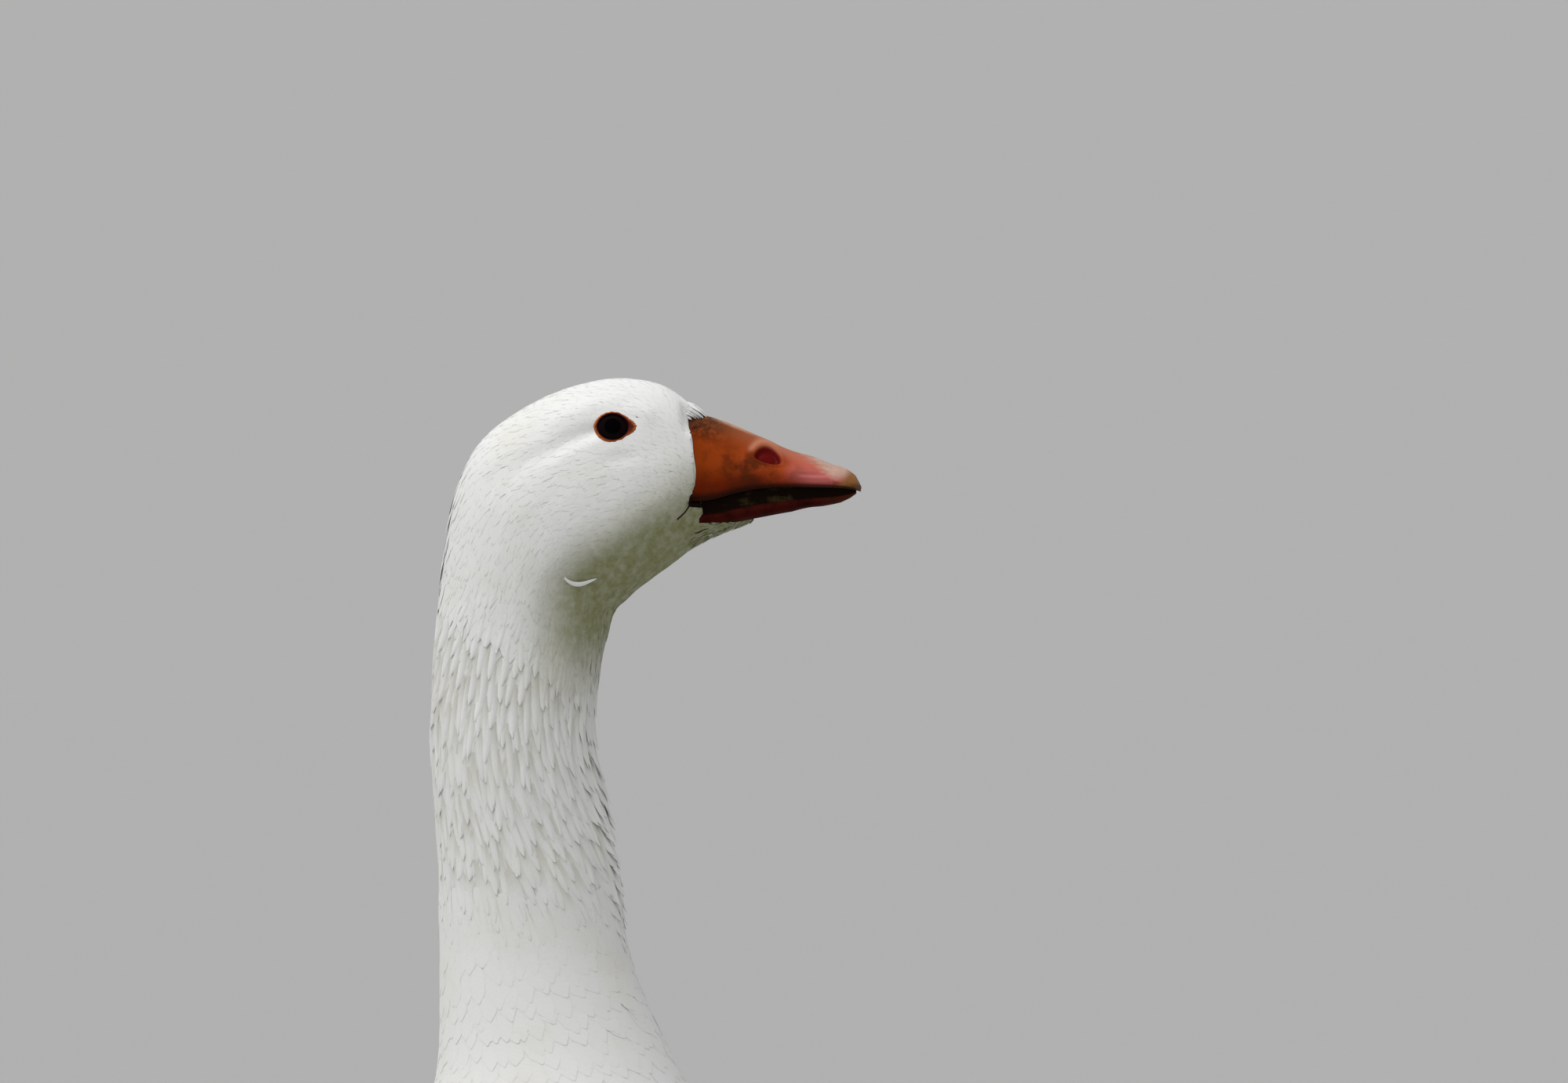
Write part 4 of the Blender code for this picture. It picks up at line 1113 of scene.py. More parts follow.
def studio_finish(colour):
    """The floor: pale matt card with a barely visible tooth."""
    finish = Finish("Pale floor", Roughness=0.95, Specular_ior_level=0.1)
    tooth = finish.noise(finish.place(), 0.02, 2.0)
    dim = tuple(0.985 * value for value in colour)
    finish.wire("Base Color", finish.mix(tooth, dim, colour))
    return finish.material


# Properties.


def length_of(name, description, default, low, high):
    """A length property in metres."""
    return FloatProperty(
        name=name, description=description, default=default, min=low, max=high, unit="LENGTH"
    )


def share_of(name, description, default):
    """A plain factor property, from 0 to 3."""
    return FloatProperty(
        name=name, description=description, default=default, min=0.0, max=3.0, subtype="FACTOR"
    )


def colour_of(name, description, default):
    """A colour property."""
    return FloatVectorProperty(
        name=name, description=description, default=default, size=3, min=0.0, max=1.0, subtype="COLOR"
    )


class GoosePlumage(bpy.types.PropertyGroup):
    """Sizes and colours of the coat."""

    white: colour_of("White", "Colour of the feather vanes", (0.84, 0.84, 0.825))
    # The root colour is painted shade: the cream grey of the furrows and of the vanes' roots between them.
    root: colour_of("Root", "Colour at the feathers' roots, in the furrows", (0.63, 0.63, 0.57))
    head_tuft: length_of("Head tuft", "Length of the plush tufts on the crown", 0.0085, 0.002, 0.02)
    neck_tuft: length_of("Neck tuft", "Length of the pointed tufts on the neck", 0.0185, 0.005, 0.03)
    neck_width: length_of("Neck tuft width", "Width of the pointed tufts on the neck", 0.0045, 0.001, 0.01)
    furrow: share_of("Furrows", "How strongly the neck's tufts stand apart", 1.0)
    contour: length_of("Contour feather", "Length of the trunk's rounded feathers", 0.026, 0.01, 0.06)
    seed: IntProperty(name="Seed", description="Seed of the feathers' small irregularities", default=7, min=0)


class GooseBill(bpy.types.PropertyGroup):
    """Colours of the bill and the legs, and depths of the bill's forms."""

    base: colour_of("Bill root", "Colour of the bill by the feathers", (0.3, 0.045, 0.004))
    mid: colour_of("Bill side", "Colour of the middle of the bill's side", (0.34, 0.052, 0.008))
    front: colour_of("Bill front", "Pinkish colour before the nail", (0.5, 0.115, 0.075))
    # The ridge colour is a painted highlight: the ridge lighter where it faces the light from above.
    ridge: colour_of("Bill ridge", "Colour along the bill's ridge", (0.42, 0.13, 0.075))
    nostril: length_of("Nostril depth", "Depth of the nostril's pit", 0.0015, 0.0, 0.004)
    legs: colour_of("Legs", "Colour of the leg skin", (0.55, 0.15, 0.03))
    webs: colour_of("Worn leg skin", "Colour of the paler patches of leg skin", (0.62, 0.24, 0.08))


class GooseStage(bpy.types.PropertyGroup):
    """The floor, the lights and the camera."""

    floor: colour_of("Floor", "Colour of the floor", (0.40, 0.40, 0.395))
    sun: FloatProperty(name="Key light", description="Strength of the broad key light", default=2.0, min=0.0)
    sky: FloatProperty(
        name="Fill light", description="Strength of the even light all round", default=0.44, min=0.0
    )


# The skin and the eyes.


def coat_depth(t):
    """Depth of the coat over the skin at section number t, smoothly between the sections."""
    return smooth(np.asarray(COAT_DEPTH)[:, None], t)[..., 0]


def chin_points(u, angle):
    """The feathered wedge under the jaw, with a round front. Round it, y = half-width x sin(angle) and z =
    top - depth x cos(angle)."""
    start, end = 58.0, CHIN_X[1] + 0.3
    x = start + (end - start) * u
    floor = np.interp(x, (58.0, 66.4, 72.0, 78.0, 82.3), (610.6, 615.2, 617.7, 619.8, 621.6))
    wide = 11.0 * np.sqrt(np.clip(1.0 - u**2.4, 0.0, 1.0)) + 0.4
    top = 621.2 + 1.4 * u
    return together(x, wide * np.sin(angle), top - (top - floor) * np.cos(angle))


def thigh_centres(side):
    """Middles of the thigh's five rings, from inside the trunk to its cuff over the hock."""
    stride = LEG_STRIDE[side]
    top = np.array(THIGH_TOP) + (0.4 * stride, 0.0, 0.0)
    cuff = np.array(HOCK) + (stride, 0.0, HOCK_RISE)
    return (top + (cuff - top) * np.linspace(0.0, 1.0, 5)[:, None]) * (1.0, SIDES[side], 1.0)


def thigh_rings(side, levels, segments, inset=0.0):
    """The feathered thigh as level elliptic rings read smoothly between five, running down."""
    centres = smooth(thigh_centres(side), np.linspace(0.0, 4.0, levels))
    radii = smooth(np.array(THIGH_RADII), np.linspace(0.0, 4.0, levels)) - inset
    return tube_rings(centres, radii, segments, (0.0, 0.0, -1.0))


def build_skin(material):
    """One skin for head, neck, trunk, thighs and chin: the coat's outer surface moved inwards by the coat's
    depth, and thighs and chin joined on by union, so that no seam shows."""
    surface = body_surface()
    levels = np.concatenate([np.linspace(0.0, 7.0, 120), np.linspace(7.0, 22.5, 170)[1:]])
    t, angle = lattice(levels, full_turn(128))
    points, normal, _, _ = surface.at(t, angle)
    near = in_eye(points[..., 0], points[..., 2])
    socket = 3.5 * ramp(near, 1.0, 0.85) * (np.abs(points[..., 1]) > 8.0) * (t < 5.0)
    skin = points - normal * (coat_depth(t) + socket)[..., None]
    piece = closed_object("skin", material, skin)
    extras = [
        closed_object("thigh_form_" + side, material, thigh_rings(side, 25, 48, inset=3.2)) for side in SIDES
    ]
    u, angle = lattice(np.linspace(0.0, 1.0, 24), full_turn(40))
    chin = chin_points(u, angle)
    chin[..., 2] = np.minimum(chin[..., 2], 621.8) + 0.5
    chin[..., 1] *= 0.94
    extras.append(closed_object("chin_form", material, chin))
    return unite(piece, extras)


def unite(piece, extras):
    """Joins closed forms onto a piece by exact union and leaves one mesh."""
    for extra in extras:
        modifier = piece.modifiers.new("union", "BOOLEAN")
        modifier.operation = "UNION"
        modifier.solver = "EXACT"
        modifier.object = extra
    bpy.context.view_layer.update()
    joined = bpy.data.meshes.new_from_object(piece.evaluated_get(bpy.context.evaluated_depsgraph_get()))
    piece.modifiers.clear()
    old = piece.data
    piece.data = joined
    joined.name = piece.name
    bpy.data.meshes.remove(old)
    for extra in extras:
        bpy.data.objects.remove(extra)
    joined.shade_smooth()
    return piece


def side_places(surface, x, z):
    """Parameters of the left side's points with the given x and z, by Newton's steps from the eye's
    section."""
    t = np.full(np.shape(x), 2.3)
    angle = np.full(np.shape(x), 1.2)
    for _ in range(14):
        point, _, d_t, d_angle = surface.at(t, angle)
        miss_x, miss_z = x - point[..., 0], z - point[..., 2]
        size = d_t[..., 0] * d_angle[..., 2] - d_t[..., 2] * d_angle[..., 0]
        t = np.clip(t + 0.8 * (miss_x * d_angle[..., 2] - miss_z * d_angle[..., 0]) / size, 0.02, 5.0)
        angle = np.clip(angle + 0.8 * (d_t[..., 0] * miss_z - d_t[..., 2] * miss_x) / size, 0.4, 2.2)
    return t, angle


def lid_edge(phi, scale):
    """The eye ring's outline in the side view: at scale 0.7 the opening, a plain ellipse, and at 1 the outer
    edge, an ellipse with a pointed front corner. Between and beyond them it goes evenly."""
    share = (scale - 0.7) / 0.3
    front = np.clip(np.cos(phi), 0.0, 1.0) ** 5
    back = np.clip(-np.cos(phi), 0.0, 1.0) ** 9
    reach = 4.95 + 0.3 * front + (1.15 + 1.9 * front + 0.3 * back) * share
    rise = 4.1 + 1.0 * share
    return reach * np.cos(phi), rise * np.sin(phi) * (1.0 - 0.16 * front * share)


def in_eye(x, z):
    """Share of the way out from the eye's middle to its ring's outer edge: below 1 is inside it."""
    away_x, away_z = x - EYE_X, z - EYE_Z
    phi = np.arctan2(away_z / 5.1, away_x / 6.1)
    edge_x, edge_z = lid_edge(phi, 1.0)
    return np.hypot(away_x, away_z) / np.hypot(edge_x, edge_z)


EYEBALL_RADIUS = 7.1


def eye_middle(surface):
    """The left eyeball's middle, with its front standing 1.3 mm out of the plumage."""
    t, angle = side_places(surface, np.array([EYE_X]), np.array([EYE_Z]))
    point, normal, _, _ = surface.at(t, angle)
    return point[0] + normal[0] * (1.3 - EYEBALL_RADIUS), normal[0]


def build_eyes(surface, material):
    """Each eyeball is a sphere with a pole on its axis of sight. The attribute away is the sine of the angle
    from that axis."""
    middle, axis = eye_middle(surface)
    aside = unit(np.cross(axis, np.array([0.0, 0.0, 1.0])))
    upward = np.cross(aside, axis)
    theta = np.linspace(0.0, math.pi, 40)[1:-1, None, None]
    segments = 64
    phi = full_turn(segments)[None, :, None]
    way = axis * np.cos(theta) + np.sin(theta) * (aside * np.cos(phi) + upward * np.sin(phi))
    for side, sign in SIDES.items():
        rings = (middle + EYEBALL_RADIUS * way) * np.array([1.0, sign, 1.0])
        verts, faces = loft_mesh(to_world(rings))
        poles = (middle + EYEBALL_RADIUS * np.stack([axis, -axis])) * np.array([1.0, sign, 1.0])
        verts[-2:] = to_world(poles)
        eye = make_object("eyeball_" + side, verts, outward(verts, faces), material)
        away = np.concatenate([np.repeat(np.sin(theta[:, 0, 0]), segments), [0.0, 1.0]])
        set_values(eye.data, "away", away)
        settle(eye, "dark_eye", "eye_" + side)


def build_lids(surface, material):
    """Each bare ring: it runs from scale 1.14, under the feathers, over its crest to 0.64, where it tucks in
    against the eyeball. Its height over the plumage is a rounded lip."""
    scale = np.array([1.14, 1.08, 1.02, 0.97, 0.92, 0.87, 0.83, 0.79, 0.76, 0.73, 0.71, 0.69, 0.67, 0.64])
    height = np.array([-1.0, -0.5, -0.1, 0.16, 0.36, 0.5, 0.56, 0.52, 0.38, 0.1, -0.3, -0.8, -1.4, -2.4])
    segments = 128
    phi = full_turn(segments)
    phi_grid, scale_grid = np.meshgrid(phi, scale, indexing="xy")
    x, z = lid_edge(phi_grid, scale_grid)
    t, angle = side_places(surface, EYE_X + x, EYE_Z + z)
    point, normal, _, _ = surface.at(t, angle)
    wrinkle = 0.1 * np.sin(17.0 * phi_grid + 1.3 * np.sin(3.0 * phi_grid)) * bump(scale_grid - 0.92, 0.1)
    rings = point + normal * (height[:, None] * (0.85 + 0.2 * np.sin(phi_grid)) + wrinkle)[..., None]
    middle, _ = eye_middle(surface)
    clear = EYEBALL_RADIUS + 0.05
    outside = unit(rings - middle) * clear
    inner = scale_grid[..., None] < 0.745
    close = np.linalg.norm(rings - middle, axis=-1, keepdims=True) < clear
    rings = np.where((close & inner) | (scale_grid[..., None] < 0.7), middle + outside, rings)
    rings[-1] = middle + unit(rings[-1] - middle) * (EYEBALL_RADIUS - 0.5)
    for side, sign in SIDES.items():
        index = np.arange(len(rings) * segments).reshape(len(rings), segments)
        right = np.roll(index, -1, axis=1)
        quads = np.stack([index[:-1], right[:-1], right[1:], index[1:]], axis=-1).reshape(-1, 4)
        if sign > 0:
            quads = quads[:, ::-1]
        verts = to_world(rings.reshape(-1, 3) * (1.0, sign, 1.0))
        piece = make_object("lids_" + side, verts, quads, material)
        place = np.stack([phi_grid / (2.0 * math.pi), (scale_grid - 0.64) / 0.5], axis=-1).reshape(-1, 2)
        set_uv(piece.data, "ring", place[quads.ravel()])
        corner = bump(np.minimum(phi_grid, 2.0 * math.pi - phi_grid), 0.5) * ramp(scale_grid, 0.92, 0.84)
        set_values(piece.data, "corner", corner)
        settle(piece, "orange_leg")


# The bill.


def upper_bill_points(x, around):
    """The upper bill's dome. around runs from 0 at the left cutting edge over the ridge to pi, y = half-width
    x cos(around)^1.24 and z = edge + (ridge - edge) x sin(around). Near its root x leans to follow the
    feathers' edge."""
    share = (x - BILL_ROOT_X) / (BILL_TIP_X - BILL_ROOT_X)
    ridge, edge, wide = np.moveaxis(by_share(BILL, np.clip(share, 0.0, 1.0)), -1, 0)
    rise = np.sin(around)
    cosine = np.cos(around)
    y = wide * np.sign(cosine) * np.abs(cosine) ** 1.24
    z = edge + (ridge - edge) * rise
    line = feather_edge(z)
    lean = (line - BILL_ROOT_X) * np.clip(1.0 - share * 5.0, 0.0, 1.0)
    return together(x + lean, y, z)


def nostril_reach(x, z):
    """The nostril's drop shape in the side view: a radius that is 1 on its rim, and the height over its long
    axis."""
    turn = math.radians(-15.0)
    ahead, above = x - NOSTRIL[0], z - NOSTRIL[1]
    along = ahead * math.cos(turn) + above * math.sin(turn)
    across = -ahead * math.sin(turn) + above * math.cos(turn)
    taper = 1.0 - 0.22 * np.clip(along / 5.0, -1.0, 1.2)
    return np.hypot(along / 5.1, across / np.where(across < 0.0, 1.3, 4.0 * taper)), across


def bill_relief(points, depth):
    """Forms of the upper bill's side, along its normal: the nostril's pit, rim and trough, and in the front
    half a crease with a smooth lip under it. Also gives masks of the pit and of a band over the rim, which
    the bill's material paints paler: partly paler horn and partly painted highlight."""
    x, z = points[..., 0], points[..., 2]
    reach, across = nostril_reach(x, z)
    pit = -depth * (1.0 - ramp(reach, 0.6, 1.0)) + 0.3 * bump(reach - 0.2, 0.4)
    rim = 0.11 * (1.0 + np.tanh(across)) * bump(reach - 1.15, 0.17)
    trough = -0.3 * bump(reach, 2.0) * ramp(reach, 1.1, 1.6) * ramp(z, 651.0, 646.0)
    crease_z = 638.4 - 0.05 * (x - 96.0)
    front = ramp(x, 95.0, 99.5) * ramp(x, 109.0, 105.5)
    crease = -0.3 * front * bump(z - crease_z, 0.6)
    fold = 0.22 * front * bump(z - crease_z + 1.1, 0.6)
    lip = 0.3 * ramp(x, 78.0, 98.0) * bump(z - crease_z + 3.0, 1.6)
    side = 0.14 * np.sin(0.42 * x + 0.8 * np.sin(0.31 * z))
    side = side * np.sin(0.55 * z + 0.15 * x) * ramp(x, 66.0, 74.0)
    flat = -0.5 * bump(x - 76.0, 7.0) * bump(z - 641.0, 6.0)
    inside = 1.0 - ramp(reach, 0.82, 1.02)
    # The band over the nostril's rim, painted paler in the bill: partly paler horn, partly painted highlight.
    above = bump(reach - 1.27, 0.24) * ramp(across, 0.4, 2.4) * ramp(x, 93.0, 86.0)
    return pit + rim + trough + crease + fold + lip + side + flat, inside, above


PALATE_POINTS = 23
HUB_VALUES = (0.0, 0.0)  # an attribute's values at the two middles that close a loft


def build_upper_bill(surface, material, nail_material, depth):
    """The upper bill and its nail: the dome with its relief, and a hollow palate that closes it below. The
    nail stands a little out of the bill round its hind edge."""
    nail_x = BILL_ROOT_X + (BILL_TIP_X - BILL_ROOT_X) * NAIL_START
    spans = (
        ("upper_bill", BILL_ROOT_X - 1.4, nail_x + 0.15, 150, material, "orange_bill", "bill_upper"),
        ("bill_nail_cap", nail_x - 0.1, BILL_TIP_X, 60, nail_material, "pale_nail", "bill_nail"),
    )
    for name, start, end, levels, finish, slot, node in spans:
        share = np.linspace(0.0, 1.0, levels)
        if node == "bill_nail":
            share = 1.0 - (1.0 - share) ** 1.7
        x = start + (end - start) * share
        around = np.linspace(0.0, math.pi, 121)
        x_grid, around_grid = lattice(x, around)
        dome = upper_bill_points(x_grid, around_grid)
        along = np.gradient(dome, axis=0)
        across = np.gradient(dome, axis=1)
        normal = unit(np.cross(along, across))
        normal *= np.sign(normal[levels // 2, 60, 2])
        relief, pit, rim = bill_relief(dome, depth)
        if node == "bill_nail":
            swell = 0.22 * ramp(x_grid, start - 0.05, start + 2.5) * ramp(around_grid, 0.0, 0.7)
            swell = swell * ramp(math.pi - around_grid, 0.0, 0.7)
            relief = swell + relief * ramp(x_grid, start + 3.0, start)
            pit = rim = np.zeros_like(pit)
        sides = ramp(around_grid, 0.0, 0.12) * ramp(math.pi - around_grid, 0.0, 0.12)
        dome = dome + normal * (relief * sides)[..., None]
        if node == "bill_upper":
            beside = np.minimum(dome[..., 0], BILL_ROOT_X - 1.3)
            plumage_y = surface.at(*side_places(surface, beside, dome[..., 2]))[0][..., 1]
            short = np.clip(plumage_y + 0.22 - np.abs(dome[..., 1]), 0.0, 0.8)
            short *= ramp(x_grid, BILL_ROOT_X + 4.0, BILL_ROOT_X)
            short *= ramp(x_grid, BILL_ROOT_X - 0.5, BILL_ROOT_X + 0.1)
            dome[..., 1] += np.sign(np.cos(around_grid)) * short * ramp(dome[..., 2], 657.0, 654.0)
        edge = dome[:, :1, :] * (1.0, 0.0, 1.0)
        wide = np.abs(dome[:, :1, 1:2])
        lane = np.linspace(-0.985, 0.985, PALATE_POINTS)[None, :, None]
        arch = 1.4 * (1.0 - lane**2) - 0.42 * (np.abs(lane) > 0.7)
        palate = edge + np.concatenate(np.broadcast_arrays(0.0, wide * lane, arch), axis=2)
        piece = closed_object(name, finish, np.concatenate([dome, palate], axis=1))
        for key, values in (("height", np.sin(around_grid)), ("pit", pit), ("rim", rim)):
            set_values(piece.data, key, np.append(np.pad(values, ((0, 0), (0, PALATE_POINTS))), HUB_VALUES))
        settle(piece, slot, node)


# The lower bill's section, as the way round from its top's middle to its floor's middle, the share of the
# half-width, and the share of the height down.
JAW_PROFILE = (
    (0.0, 0.0, 0.0),
    (0.16, 0.84, 0.0),
    (0.2, 0.9, 0.03),
    (0.3, 0.9, 0.2),
    (0.42, 0.9, 0.4),
    (0.5, 0.91, 0.5),
    (0.55, 0.985, 0.56),
    (0.62, 1.0, 0.66),
    (0.72, 0.94, 0.83),
    (0.84, 0.74, 0.95),
    (1.0, 0.0, 1.0),
)


def build_lower_bill(material):
    """The lower bill. Its section is JAW_PROFILE, mirrored: a flat top, a recessed side band with plates as a
    cosine of x, a rounded rim under it, and a floor."""
    levels, half = 240, 70
    x = np.linspace(61.4, JAW_TIP_X, levels)[:, None]
    share = (x - BILL_ROOT_X) / (JAW_TIP_X - BILL_ROOT_X)
    floor, wide = np.moveaxis(by_share(JAW, np.clip(share, 0.0, 1.0)), -1, 0)
    top = by_share(BILL, np.clip((x - BILL_ROOT_X) / (BILL_TIP_X - BILL_ROOT_X), 0.0, 1.0))[..., 1] - 0.35
    way = np.linspace(0.0, 1.0, half)[None, :]
    table = np.array(JAW_PROFILE)
    out = np.interp(way, table[:, 0], table[:, 1])
    down = np.interp(way, table[:, 0], table[:, 2])
    band = ramp(way, 0.17, 0.21) * ramp(way, 0.53, 0.49)
    comb = np.cos(2.0 * math.pi * (x - 62.0 + 0.5 * np.sin(0.9 * x) + 1.6 * way) / 1.45)
    plates = 0.15 * band * comb * ramp(x, 64.0, 68.0) * ramp(x, 111.0, 106.0)
    y = wide * out + plates
    z = top + (floor - top) * down
    side = together(x, y, z)
    rings = np.concatenate([side, (side * (1.0, -1.0, 1.0))[:, -2:0:-1]], axis=1)
    piece = closed_object("lower_bill", material, rings)
    plate = np.clip(0.5 - 0.5 * comb, 0.0, 1.0) ** 1.5 * band
    for key, values in (("band", band + 0.0 * x), ("comb", plate)):
        both = np.concatenate([values, values[:, -2:0:-1]], axis=1)
        set_values(piece.data, key, np.append(both, HUB_VALUES))
    settle(piece, "orange_bill", "bill_lower")


def build_mouth_corners(surface, material):
    """The dark corner of the mouth on each side, in the near-black of the lower bill's band: the gape's dark
    skin and painted shade of its recess. It is a low wedge from the lower bill's root back to the feathers,
    and from there a thin crease down and back."""
    way, across = lattice(np.linspace(0.0, 1.0, 44), np.linspace(-1.0, 1.0, 11))
    x = 55.8 + 9.2 * way
    wedge = np.clip((x - 59.8) / 5.2, 0.0, 1.0)
    crease = np.interp(x, (55.8, 58.2, 60.2, 65.0), (623.5, 625.6, 628.4, 628.7))
    z = crease + across * (0.24 + 0.1 * np.sqrt(way) + 1.2 * np.sqrt(wedge))
    point, normal, _, _ = surface.at(*side_places(surface, x, z))
    top = point + normal * (0.4 - 0.5 * across**2 * np.abs(across))[..., None]
    under = (point - normal * 0.9)[:, ::-1]
    rings = np.concatenate([top, under], axis=1)
    for side, sign in SIDES.items():
        piece = closed_object("mouth_corner_" + side, material, rings * (1.0, sign, 1.0))
        # The whole wedge takes the band's near-black: dark gape skin and painted shade of the recessed
        # corner.
        set_values(piece.data, "band", np.ones(len(piece.data.vertices)))
        settle(piece, "orange_bill")


# The coat.


def vane_sizes(heading, length, width, depth, tip, arch, curl=0.0):
    """The sizes of a set of vanes, each one number or one for every vane."""
    return heading, length, width, depth, tip, arch, curl


def skin_unwrap(t, angle):
    """Places on the unwrap of the skin: length along the side and angle round it, both 0 to 1."""
    whole = side_length([len(ROWS) - 1.0])[0]
    return np.stack([0.02 + 0.96 * side_length(t) / whole, angle / (2.0 * math.pi)], axis=-1)


def stop_at_eye(surface, t, angle, heading, length):
    """Shortens the vanes that would lie over an eye's ring to end just inside its outer edge. Returns their
    lengths and the width that each has room for beside the ring."""
    _, _, d_t, d_angle = surface.at(t, angle)
    scale_t = np.linalg.norm(d_t, axis=-1)
    scale_angle = np.linalg.norm(d_angle, axis=-1)
    stop, nearest = np.ones(len(t)), np.full(len(t), 9.0)
    for share in np.linspace(0.0, 1.0, 13):
        ahead_t = t + length * share * np.cos(heading) / scale_t
        ahead_angle = angle + length * share * np.sin(heading) / scale_angle
        point = surface.at(ahead_t, ahead_angle)[0]
        near = in_eye(point[..., 0], point[..., 2])
        stop = np.where((near < 0.95) & (stop > share), max(share - 0.04, 0.0), stop)
        nearest = np.where(stop > share, np.minimum(nearest, near), nearest)
    return length * stop, 0.8 + 10.0 * np.maximum(nearest - 0.95, 0.0)


COLLAR_ROWS = ((0.0, 1.01), (0.06, 1.07), (0.0, 1.14), (0.03, 1.24), (0.09, 1.34), (0.0, 1.46), (0.06, 1.6))


def head_coat(surface, sizes, rng):
    """Plush of the head: short tufts almost flush with one another, smallest round the bill and the eyes, and
    a little ragged over the nape and under the jaw."""
    t, angle, step_t = brick_roots(0.0, 6.8, lambda t: 1.3 + 0.3 * t, lambda t: 0.95 + 0.1 * t, rng, 0.4)
    stays = rng.random(len(t)) < ramp(t, 6.8, 5.2)
    t, angle, step_t = t[stays], angle[stays], step_t[stays]
    phi = full_turn(52)
    collar = [lid_edge(phi + shift, scale) for shift, scale in COLLAR_ROWS]
    collar_x, collar_z = (np.concatenate(values) for values in zip(*collar))
    round_t, round_angle = side_places(surface, EYE_X + collar_x, EYE_Z + collar_z)
    t = np.concatenate([t, round_t, round_t])
    angle = np.concatenate([angle, round_angle, 2.0 * math.pi - round_angle])
    step_t = np.concatenate([step_t, np.full(2 * len(round_t), 0.03)])
    point, _, d_t, _ = surface.at(t, angle)
    folded, sign = folded_angle(angle)
    x, z = point[:, 0], point[:, 2]
    pitch = np.linalg.norm(d_t, axis=-1) * step_t
    face = ramp(t, 0.1, 2.8)
    reach = sizes.head_tuft / MM
    length = (3.2 + (reach - 3.2) * face) * (0.85 + 0.3 * rng.random(len(t)))
    near = in_eye(x, z)
    length *= 0.45 + 0.55 * ramp(near, 1.0, 2.2)
    length = np.maximum(length, np.minimum(pitch * 2.4, 10.0))
    heading = rng.normal(0.0, 0.08, len(t))
    heading += sign * 0.2 * ramp(folded, 0.3, 1.2) * ramp(folded, 2.6, 1.5) * face
    keep = (near > 1.0) & ((x < feather_edge(z)) | (z < 628.0))
    t, angle, heading, length, folded = t[keep], angle[keep], heading[keep], length[keep], folded[keep]
    length, room = stop_at_eye(surface, t, angle, heading, length)
    keep = length > 0.7
    t, angle, heading, length, folded, room = (
        values[keep] for values in (t, angle, heading, length, folded, room)
    )
    ragged = ramp(t, 3.8, 5.2) * ramp(folded, 0.5, 0.1) * rng.random(len(t)) ** 3
    jaw = ramp(folded, 2.2, 3.0) * ramp(t, 0.6, 3.0) * rng.random(len(t)) ** 2
    tip = 0.02 + 0.03 * rng.random(len(t)) + 0.9 * ragged + 0.25 * jaw - 0.12 * ramp(t, 5.2, 6.4)
    width = np.minimum((2.1 + 0.28 * t) * (0.85 + 0.3 * rng.random(len(t))), room)
    depth = np.minimum(coat_depth(t) * 0.8, 0.1 + 0.01 * length)
    curl = rng.normal(0.0, 0.12, len(t))
    here = vane_sizes(heading, length, width, depth, tip, 0.015, curl)
    grid = lay_vanes(surface, t, angle, here, plume, 3, 2, 0.5)
    return [(grid, skin_unwrap(t, angle), False)]


def head_under_coat(surface, rng):
    """A low, broad set of vanes that closes the head's coat under its tufts."""
    t, angle, _ = brick_roots(0.1, 6.3, lambda t: 2.4 + 0.3 * t, lambda t: 2.1 + 0.1 * t, rng, 0.3)
    heading = rng.normal(0.0, 0.1, len(t))
    length, room = stop_at_eye(surface, t, angle, heading, (4.5 + 1.0 * t) * (0.9 + 0.2 * rng.random(len(t))))
    point = surface.at(t, angle)[0]
    line = feather_edge(point[:, 2]) - 0.1
    keep = (length > 1.5) & ((point[:, 0] < line) | (point[:, 2] < 627.5))
    keep &= in_eye(point[:, 0], point[:, 2]) > 1.03
    t, angle, heading, length, room = (values[keep] for values in (t, angle, heading, length, room))
    depth = np.minimum(0.56 * coat_depth(t), 0.38)
    here = vane_sizes(heading, length, np.minimum(4.6 + 0.2 * t, room), depth, -0.06, 0.0)
    return [(lay_vanes(surface, t, angle, here, plume, 3, 2, 0.5), skin_unwrap(t, angle), False)]


def plume(share):
    """Half-width of a plush tuft: full for most of its length, with a drawn-in soft point."""
    return np.minimum(1.0, 0.6 + 1.6 * share) * np.sqrt(np.clip(1.0 - share**2.6, 0.0, 1.0) + 0.004)


def forehead_coat(rng):
    """Short plush on the root of the bill's ridge, in a rounded point whose edge is at 66.4 - 5.2 x (y /
    4.4)^2."""
    x, around = lattice(np.linspace(72.0, 57.0, 31), np.linspace(0.2, math.pi - 0.2, 61))
    points = upper_bill_points(x, around)
    surface = Surface(points, (0.0, 15.0), (0.2, math.pi - 0.2))
    surface.table[..., 3:6] *= np.sign(surface.table[15, 30, 5])
    p, q = lattice(np.arange(4.5, 12.0, 0.7), np.linspace(0.28 * math.pi, 0.72 * math.pi, 30))
    p = (p + rng.uniform(-0.3, 0.3, p.shape)).ravel()
    q = (q + rng.uniform(-0.02, 0.02, q.shape)).ravel()
    point = surface.at(p, q)[0]
    keep = point[:, 0] < 66.4 - 5.2 * (point[:, 1] / 4.4) ** 2
    p, q = p[keep], q[keep]
    length = np.maximum(point[keep, 0] - 58.0, 2.5) + 1.0 * rng.random(len(p))
    tip = 3.1 - 1.4 * (point[keep, 1] / 4.4) ** 2 + 0.1 * rng.random(len(p))
    here = vane_sizes(rng.normal(0.0, 0.06, len(p)), length, 2.3, 0.1, tip, 0.0)
    grid = lay_vanes(surface, p, q, here, plume, 3, 2, 0.6)
    return [(grid, np.stack([0.01 + 0.0 * p, q / (2.0 * math.pi)], axis=-1), False)]


